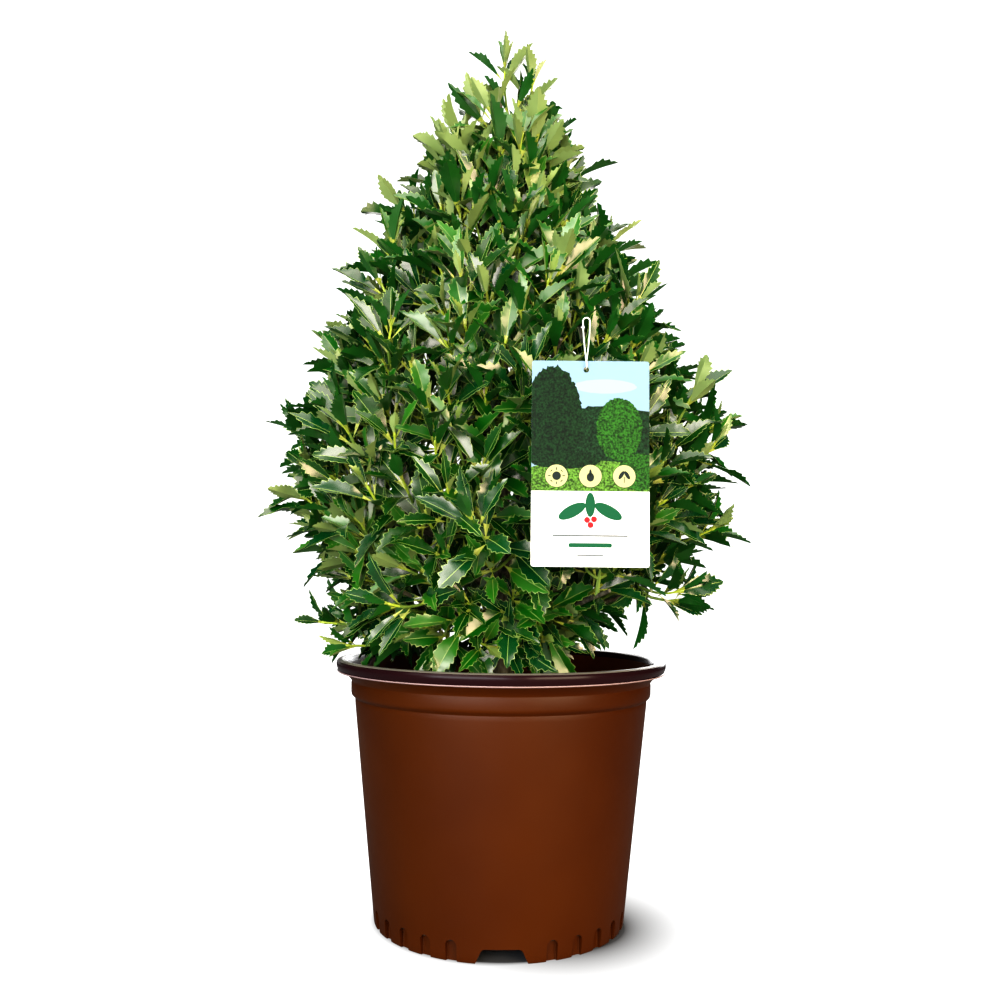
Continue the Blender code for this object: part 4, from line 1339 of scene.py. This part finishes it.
def size_at(height):
    """The low leaves have had less light and stay a little shorter."""
    return float(np.interp(height, (0.36, 0.52), (0.93, 1.0)))


def grow_leaf(shoot, rank, azimuth, draw):
    """One leaf of a shoot, shortened or turned in until it fits, or None."""
    t = 1 - NODE_STEPS[rank] / shoot.length
    root, along = shoot.point(t), shoot.along(t)
    across = along.orthogonal().normalized()
    outward = root - trunk_point(root.z)
    outward.z = 0
    outward.normalize()
    for attempt in range(7):
        spread = math.radians(SPREADS[rank] + draw.gauss(0, 7)) * (1 - 0.05 * attempt)
        turn = azimuth + draw.gauss(0, 0.16)
        away = across * math.cos(turn) + along.cross(across) * math.sin(turn)
        direction = along * math.cos(spread) + away * math.sin(spread)
        direction.z += droop_at(root.z) * (0.4 if rank < 3 else 1.0)
        direction.normalize()
        facing = along * math.sin(spread) - away * math.cos(spread)
        facing = facing + Vector((0, 0, 0.35)) + outward * outward_turn(root.z)
        length = LEAF_LENGTH * SIZES[rank] * draw.uniform(0.84, 1.12) * (1 - 0.06 * attempt)
        leaf = Leaf(root + away * shoot.radius * 0.5, direction, facing, length, shoot, rank, draw)
        if not any(blocked(leaf.place(*probe)) for probe in LEAF_PROBES):
            leaf.length *= size_at(root.z)
            return leaf
    return None


def grow_leaves():
    draw = random.Random(LEAF_SEED)
    made = []
    for shoot in shoots:
        first = draw.uniform(0, math.tau)
        for rank, step in enumerate(NODE_STEPS):
            if step > shoot.length * 0.92:
                break
            leaf = grow_leaf(shoot, rank, first + rank * GOLDEN_ANGLE, draw)
            if leaf is not None:
                made.append(leaf)
    return made


leaves = grow_leaves()
print("leaves", len(leaves))

# %% [markdown]
# ### Bending and painting the leaves
#
# Every copy is folded along its midrib, waved at its margin, twisted and arched. The colours are
# plain and are dealt out by shoot: most shoots are deep green, some fresher, and the youngest leaves
# of many stars are yellow-green. Margins are pale. Undersides are a duller green low down and pale
# near the top, partly their own young colour and partly painted light that shines through the leaf.
# Gloss, wax and its faint warm tint are the same on every leaf.

# %% Leaf colours
LEAF_TONES = (
    ("leaf_deep", (0.0012, 0.0640, 0.0026), 0.27),
    ("leaf_blue", (0.0016, 0.0660, 0.0130), 0.25),
    ("leaf_green", (0.0035, 0.1080, 0.0036), 0.28),
    ("leaf_fresh", (0.0240, 0.1650, 0.0085), 0.30),
    ("leaf_young", (0.2900, 0.3800, 0.0900), 0.40),
)
PALE_TONES = (("leaf_margin", (0.260, 0.370, 0.085), 0.45), ("leaf_stalk", (0.430, 0.480, 0.070), 0.45))
# The pale underside tone is partly the young leaves' own colour and partly painted light that shines through
# the leaves.
UNDER_TONES = (("underside", (0.008, 0.102, 0.010), 0.36), ("underside_young", (0.270, 0.365, 0.120), 0.50))
TONE_SHARES = (  # height, then the shares of the leaf tones among the shoots there
    (0.24, (24, 38, 32, 5, 1)),
    (0.50, (30, 26, 35, 7, 2)),
    (0.66, (30, 22, 34, 10, 4)),
    (0.72, (26, 18, 30, 16, 10)),
)
# Share of pale undersides by height: more near the top, where the pale tone also stands in for light shining
# through.
PALE_UNDERSIDES = ((0.30, 0.40, 0.52, 0.60, 0.68, 0.73), (0.04, 0.06, 0.12, 0.26, 0.50, 0.80))
LEAF_GLOSS = 0.90
WAX_IOR = 1.65
LEAF_SHEEN = (1.0, 0.85, 0.78)


def leaf_material(name, colour, roughness):
    material = plain_material(name, colour, roughness)
    finish(material, {"Specular IOR Level": LEAF_GLOSS, "IOR": WAX_IOR, "Specular Tint": (*LEAF_SHEEN, 1.0)})
    return material


leaf_materials = [leaf_material(*tone) for tone in LEAF_TONES + PALE_TONES + UNDER_TONES]
YOUNG = len(LEAF_TONES) - 1


def shoot_tone(shoot, draw):
    """A tone for a whole shoot, fresher towards the top of the crown."""
    heights = [height for height, _ in TONE_SHARES]
    shares = [np.interp(shoot.end.z, heights, column) for column in zip(*(row for _, row in TONE_SHARES))]
    return draw.choices(range(len(LEAF_TONES)), shares)[0]


def leaf_numbers(leaf, template, tone, youthful):
    """The material number of each face of a leaf."""
    own = tone
    if youthful and leaf.rank < 2:
        own = YOUNG if leaf.rank == 0 else max(tone, YOUNG - 1)
    pale = own >= YOUNG - 1 or leaf.pallor < np.interp(leaf.root.z, *PALE_UNDERSIDES)
    under = YOUNG + 3 + pale
    table = np.array([own, YOUNG + 1, under, YOUNG + 2])
    return table[template.materials]


# %% Leaf meshes
def bent_leaf(leaf, template):
    """A leaf's points: folded, waved, twisted, arched and set on its shoot."""
    x, y, z = template.points.T * (leaf.length / LEAF_LENGTH)
    x = x * leaf.width
    share = y / leaf.length
    wave = np.sin(share * 12.0 + leaf.phase + np.sign(x) * 1.1) * leaf.wave * leaf.length
    z = z + np.abs(x) * math.sin(leaf.fold) + wave * np.minimum(template.edge, 1.2) * (share > 0.2)
    x = x * math.cos(leaf.fold)
    turn = leaf.twist * np.clip(share, 0, 1)
    x, z = x * np.cos(turn) - z * np.sin(turn), x * np.sin(turn) + z * np.cos(turn)
    bent = leaf.arch * np.clip(share, 0, 1.1)
    ahead = np.where(share > 0, leaf.length * np.sin(bent) / leaf.arch, y)
    down = leaf.length * (1 - np.cos(bent)) / leaf.arch
    ahead = ahead + z * np.sin(bent)
    up = z * np.cos(bent) - down
    axes = np.array((leaf.side, leaf.direction, leaf.facing))
    foot = leaf.root + leaf.direction * leaf.length * STALK_SHARE
    return np.stack((x, ahead, up), 1) @ axes + np.array(foot)


def build_leaves():
    """The bent copies of the leaf, with their material numbers, for each tier of the crown."""
    draw = random.Random(LEAF_SEED + 1)
    tones = {id(shoot): (shoot_tone(shoot, draw), draw.random() < 0.45) for shoot in shoots}
    groups = {}
    for leaf in leaves:
        template = leaf_templates[leaf.kind]
        tier = leaf.shoot.mass.name.split("_")[0]
        numbers = leaf_numbers(leaf, template, *tones[id(leaf.shoot)])
        groups.setdefault(tier, []).append((template, bent_leaf(leaf, template), numbers))
    return groups


for tier, parts in build_leaves().items():
    piece = joined_mesh(f"leaves_{tier}", parts, leaf_materials)
    smooth(piece, 38)
    print("leaves", tier, len(parts), "triangles", triangles(piece))
    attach(piece, "root")
    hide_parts(*[f"foliage_{mass.name}" for mass in masses if mass.name.split("_")[0] == tier])

# %% [markdown]
# ## Twigs
#
# The wood inside the crown is grey-green and turns yellow-green towards the growing tips. Stems and
# shoots are one six-sided tube, swept along each route and joined: older wood in one piece, green
# shoots in another.

# %% Twig tubes
BUD_LENGTH = 0.0048
BUD_RADIUS = 0.0012
YELLOW_FROM = 0.80
STEM_RADII = (0.0026, 0.0016)
SHOOT_TIP_RADIUS = 0.0009
ROUTE_STEPS = 6


def bud_template():
    """A pointed end bud: a small cone with two rings, fattest at a third of its height."""
    deselect_all()
    place = (0, 0, BUD_LENGTH / 2)
    bpy.ops.mesh.primitive_cone_add(vertices=6, radius1=BUD_RADIUS * 0.7, depth=BUD_LENGTH, location=place)
    bud = added("bud")
    bpy.ops.object.mode_set(mode="EDIT")
    for share, wider in ((0.3, 2.0), (0.65, 1.9)):
        bpy.ops.mesh.select_all(action="SELECT")
        bpy.ops.mesh.bisect(plane_co=(0, 0, BUD_LENGTH * share), plane_no=(0, 0, 1))
        pick("VERT", lambda co, height=BUD_LENGTH * share: abs(co.z - height) < HAIR)
        bpy.ops.transform.resize(value=(wider, wider, 1), center_override=(0, 0, 0))
    bpy.ops.object.mode_set(mode="OBJECT")
    return Template(bud)


def placed_bud(bud, shoot):
    """A bud's points at the end of a shoot, pointing on along it."""
    way = shoot.along(1)
    turn = np.array(way.to_track_quat("Z", "Y").to_matrix())
    return bud.points @ turn.T + np.array(shoot.end - way * 0.0006)


def build_twigs():
    tube, bud = tube_template("twig_tube", 6, 6), bud_template()
    old, young = [], []
    corners_each = np.append(tube.starts[1:], len(tube.corners)) - tube.starts
    face_heights = np.add.reduceat(tube.points[tube.corners, 2], tube.starts) / corners_each
    yellow = (face_heights > YELLOW_FROM).astype(int)
    for mass in masses:
        route = [mass.foot.lerp(mass.tip, step / ROUTE_STEPS) for step in range(ROUTE_STEPS + 1)]
        foot_radius = TRUNK_TOP_RADIUS if mass.name == "top" else STEM_RADII[0]
        radii = np.linspace(foot_radius, STEM_RADII[1], ROUTE_STEPS + 1)
        old.append((tube, swept(tube, route, radii), tube.materials))
    for shoot in shoots:
        radii = np.linspace(shoot.radius, SHOOT_TIP_RADIUS, ROUTE_STEPS + 1)
        route = [shoot.point(step / ROUTE_STEPS) for step in range(ROUTE_STEPS + 1)]
        young.append((tube, swept(tube, route, radii), yellow))
        young.append((bud, placed_bud(bud, shoot), bud.materials + 1))
    return joined_mesh("stems", old, []), joined_mesh("green_shoots", young, [])


stems, green_shoots = build_twigs()
shoot_material = plain_material("shoot_green", (0.200, 0.300, 0.050), 0.5)
grain = noise_node(shoot_material, texture_space(shoot_material), 300, 2)
finish(shoot_material, {"Roughness": ranged(shoot_material.node_tree, grain, result=(0.42, 0.6))})
stems.data.materials.append(bark)
for material in (shoot_material, plain_material("shoot_tip", (0.470, 0.570, 0.060), 0.45)):
    green_shoots.data.materials.append(material)
for piece in (stems, green_shoots):
    smooth(piece, 50)
    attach(piece, "root")
print("twigs", triangles(stems) + triangles(green_shoots))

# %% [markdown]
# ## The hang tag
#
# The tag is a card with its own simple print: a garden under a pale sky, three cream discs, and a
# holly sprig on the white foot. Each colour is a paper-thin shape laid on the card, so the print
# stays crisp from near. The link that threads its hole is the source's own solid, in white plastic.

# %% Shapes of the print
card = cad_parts["tag"]
CARD_X, CARD_FRONT, CARD_Z = (TAG_LOW.x + TAG_HIGH.x) / 2, TAG_LOW.y, TAG_LOW.z
LAYER = 0.00004
PICTURE_FOOT, PICTURE_TOP = 0.0525, 0.1440
PICTURE_EDGES = (  # a place on each border of the picture, and the way out of it
    ((-0.0410, 0, 0), (-1, 0, 0)), ((0.0410, 0, 0), (1, 0, 0)),
    ((0, 0, PICTURE_FOOT), (0, 0, -1)), ((0, 0, PICTURE_TOP), (0, 0, 1)),
)
INK_SHEEN = 0.18
LEAFY_INKS = ("far_trees", "bush", "lawn", "hedge")
INKS = {
    "sky": (0.230, 0.340, 0.440), "cloud": (0.30, 0.41, 0.50), "far_trees": (0.006, 0.028, 0.008),
    "bush": (0.018, 0.085, 0.008), "lawn": (0.075, 0.165, 0.022), "hedge": (0.004, 0.022, 0.005),
    "cream": (0.46, 0.45, 0.22), "ink": (0.012, 0.020, 0.018), "leaf": (0.004, 0.090, 0.036),
    "berry": (0.420, 0.012, 0.018), "rule": (0.11, 0.12, 0.12),
}
prints = []


def ink(name):
    """The material of a printed colour, made once. The leafy ones are mottled by noise."""
    found = bpy.data.materials.get("print_" + name)
    if found is not None:
        return found
    material = plain_material("print_" + name, INKS[name], 0.50)
    finish(material, {"Specular IOR Level": INK_SHEEN})
    if name in LEAFY_INKS:
        leafy = noise_node(material, texture_space(material), 760, 3)
        dark, light = (tuple(part * tone for part in INKS[name]) for tone in (0.25, 2.0))
        finish(material, {"Base Color": ramp_node(material, leafy, ((0.36, dark), (0.70, light)))})
    return material


def lay(name, colour, layer):
    """Finishes the printed shape in hand: laid flat on the card, in its own colour, one layer up."""
    shape = bpy.context.object
    shape.data.transform(Matrix.Translation((CARD_X, CARD_FRONT - LAYER * layer, CARD_Z)))
    shape.name = shape.data.name = name
    shape.data.materials.append(ink(colour))
    prints.append(shape)


def panel(name, colour, layer, left, right, low, high, round_by=0.0):
    """A printed rectangle, with rounded corners if wanted."""
    deselect_all()
    bpy.ops.mesh.primitive_plane_add(size=1, rotation=(math.radians(90), 0, 0))
    added(name)
    bpy.ops.object.mode_set(mode="EDIT")
    bpy.ops.mesh.select_all(action="SELECT")
    bpy.ops.transform.resize(value=(right - left, 1, high - low), center_override=(0, 0, 0))
    bpy.ops.transform.translate(value=((left + right) / 2, 0, (low + high) / 2))
    if round_by:
        bpy.ops.mesh.bevel(offset=round_by, segments=6, affect="VERTICES")
    bpy.ops.object.mode_set(mode="OBJECT")
    lay(name, colour, layer)


def blob(name, colour, layer, x, z, wide, high, sides=40, tilt=0.0, ragged=0.0):
    """A printed ellipse, ragged at its edge for trees, and cut off at the picture's borders."""
    deselect_all()
    upright = (math.radians(90), 0, 0)
    bpy.ops.mesh.primitive_circle_add(vertices=sides, radius=1, fill_type="NGON", rotation=upright)
    added(name)
    bpy.ops.object.mode_set(mode="EDIT")
    bpy.ops.mesh.select_all(action="SELECT")
    if ragged:
        bpy.ops.transform.vertex_random(offset=ragged, seed=7)
        bpy.ops.transform.resize(value=(1, 0, 1), center_override=(0, 0, 0))
    bpy.ops.transform.resize(value=(wide / 2, 1, high / 2), center_override=(0, 0, 0))
    bpy.ops.transform.rotate(value=math.radians(tilt), orient_axis="Y", center_override=(0, 0, 0))
    bpy.ops.transform.translate(value=(x, 0, z))
    for place, way in PICTURE_EDGES if ragged else ():
        bpy.ops.mesh.select_all(action="SELECT")
        bpy.ops.mesh.bisect(plane_co=place, plane_no=way, clear_outer=True)
    bpy.ops.object.mode_set(mode="OBJECT")
    lay(name, colour, layer)


def picture_field(name, colour, layer):
    """The card's own front, with its corners and hole, kept down to the foot of the picture."""
    shape = linked(name, card.data.copy())
    shape.data.materials.clear()
    take_up(shape)
    bpy.ops.object.mode_set(mode="EDIT")
    pick("FACE", lambda co: co.y > CARD_FRONT + LAYER)
    bpy.ops.mesh.delete(type="FACE")
    bpy.ops.mesh.select_all(action="SELECT")
    bpy.ops.mesh.bisect(plane_co=(0, 0, CARD_Z + PICTURE_FOOT), plane_no=(0, 0, 1), clear_inner=True)
    bpy.ops.object.mode_set(mode="OBJECT")
    shape.data.transform(Matrix.Translation((-CARD_X, -CARD_FRONT, -CARD_Z)))
    lay(name, colour, layer)


# %% Printing the card
DISC_XS, DISC_Z = (-0.0235, 0.0, 0.0235), 0.0630
SPRIG_LEAVES = ((-0.0125, 0.0385, -62, 0.021), (0.0125, 0.0385, 62, 0.021), (0.0, 0.0430, 0, 0.017))
SPRIG_BERRIES = ((-0.0022, 0.0325), (0.0026, 0.0330), (0.0002, 0.0290))

picture_field("picture_sky", "sky", 1)
blob("cloud", "cloud", 2, 0.010, 0.126, 0.044, 0.010, ragged=0.04)
blob("far_wood", "far_trees", 2, 0.010, 0.086, 0.110, 0.052, 120, ragged=0.07)
blob("tall_tree", "hedge", 3, -0.026, 0.104, 0.040, 0.072, 120, ragged=0.07)
blob("round_tree", "bush", 4, 0.020, 0.096, 0.032, 0.044, 110, ragged=0.06)
blob("lawn", "lawn", 5, 0.000, 0.052, 0.130, 0.044, 80, ragged=0.008)
blob("low_hedge", "hedge", 6, -0.018, 0.074, 0.050, 0.012, 90, ragged=0.07)
blob("near_bush", "bush", 7, 0.034, 0.066, 0.030, 0.026, 90, ragged=0.07)
for number, x in enumerate(DISC_XS):
    blob(f"disc_ring_{number}", "ink", 8, x, DISC_Z, 0.0162, 0.0162)
    blob(f"disc_{number}", "cream", 9, x, DISC_Z, 0.0156, 0.0156)
blob("disc_sun", "ink", 10, DISC_XS[0], DISC_Z, 0.0060, 0.0060)
for turn in range(8):
    angle = turn * math.pi / 4
    x, z = DISC_XS[0] + 0.0050 * math.cos(angle), DISC_Z + 0.0050 * math.sin(angle)
    blob(f"disc_ray_{turn}", "ink", 10, x, z, 0.0022, 0.0007, 12, -math.degrees(angle))
blob("disc_drop", "ink", 10, 0.0, 0.0622, 0.0052, 0.0062, 28)
blob("disc_drop_tip", "ink", 10, 0.0, 0.0652, 0.0018, 0.0050, 12)
for side in (-1, 1):
    blob(f"disc_leaf_{side}", "ink", 10, DISC_XS[2] + side * 0.0020, 0.0638, 0.0026, 0.0066, 20, side * 32)
panel("disc_stem", "ink", 10, 0.02325, 0.02375, 0.0585, 0.0625)
for number, (x, z, tilt, size) in enumerate(SPRIG_LEAVES):
    blob(f"sprig_leaf_{number}", "leaf", 1, x, z, size * 0.40, size, 28, tilt)
for number, (x, z) in enumerate(SPRIG_BERRIES):
    blob(f"sprig_berry_{number}", "berry", 2, x, z, 0.0042, 0.0042, 24)
panel("long_rule", "rule", 1, -0.0260, 0.0260, 0.0210, 0.0221)
panel("green_bar", "leaf", 1, -0.0150, 0.0150, 0.0135, 0.0165, 0.0012)
panel("short_rule", "rule", 1, -0.0090, 0.0090, 0.0076, 0.0086)
print("printed shapes", len(prints))

# %% Card, print and link
for piece, colour in ((card, (0.80, 0.81, 0.80)), (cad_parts["tag_loop"], (0.78, 0.79, 0.78))):
    piece.data.materials.clear()
    piece.data.materials.append(plain_material(piece.name + "_plastic", colour, 0.38))
    smooth(piece, 40)
tag_print = join(prints, "tag_print")
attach(tag_print, "root")
print("tag print triangles", triangles(tag_print))
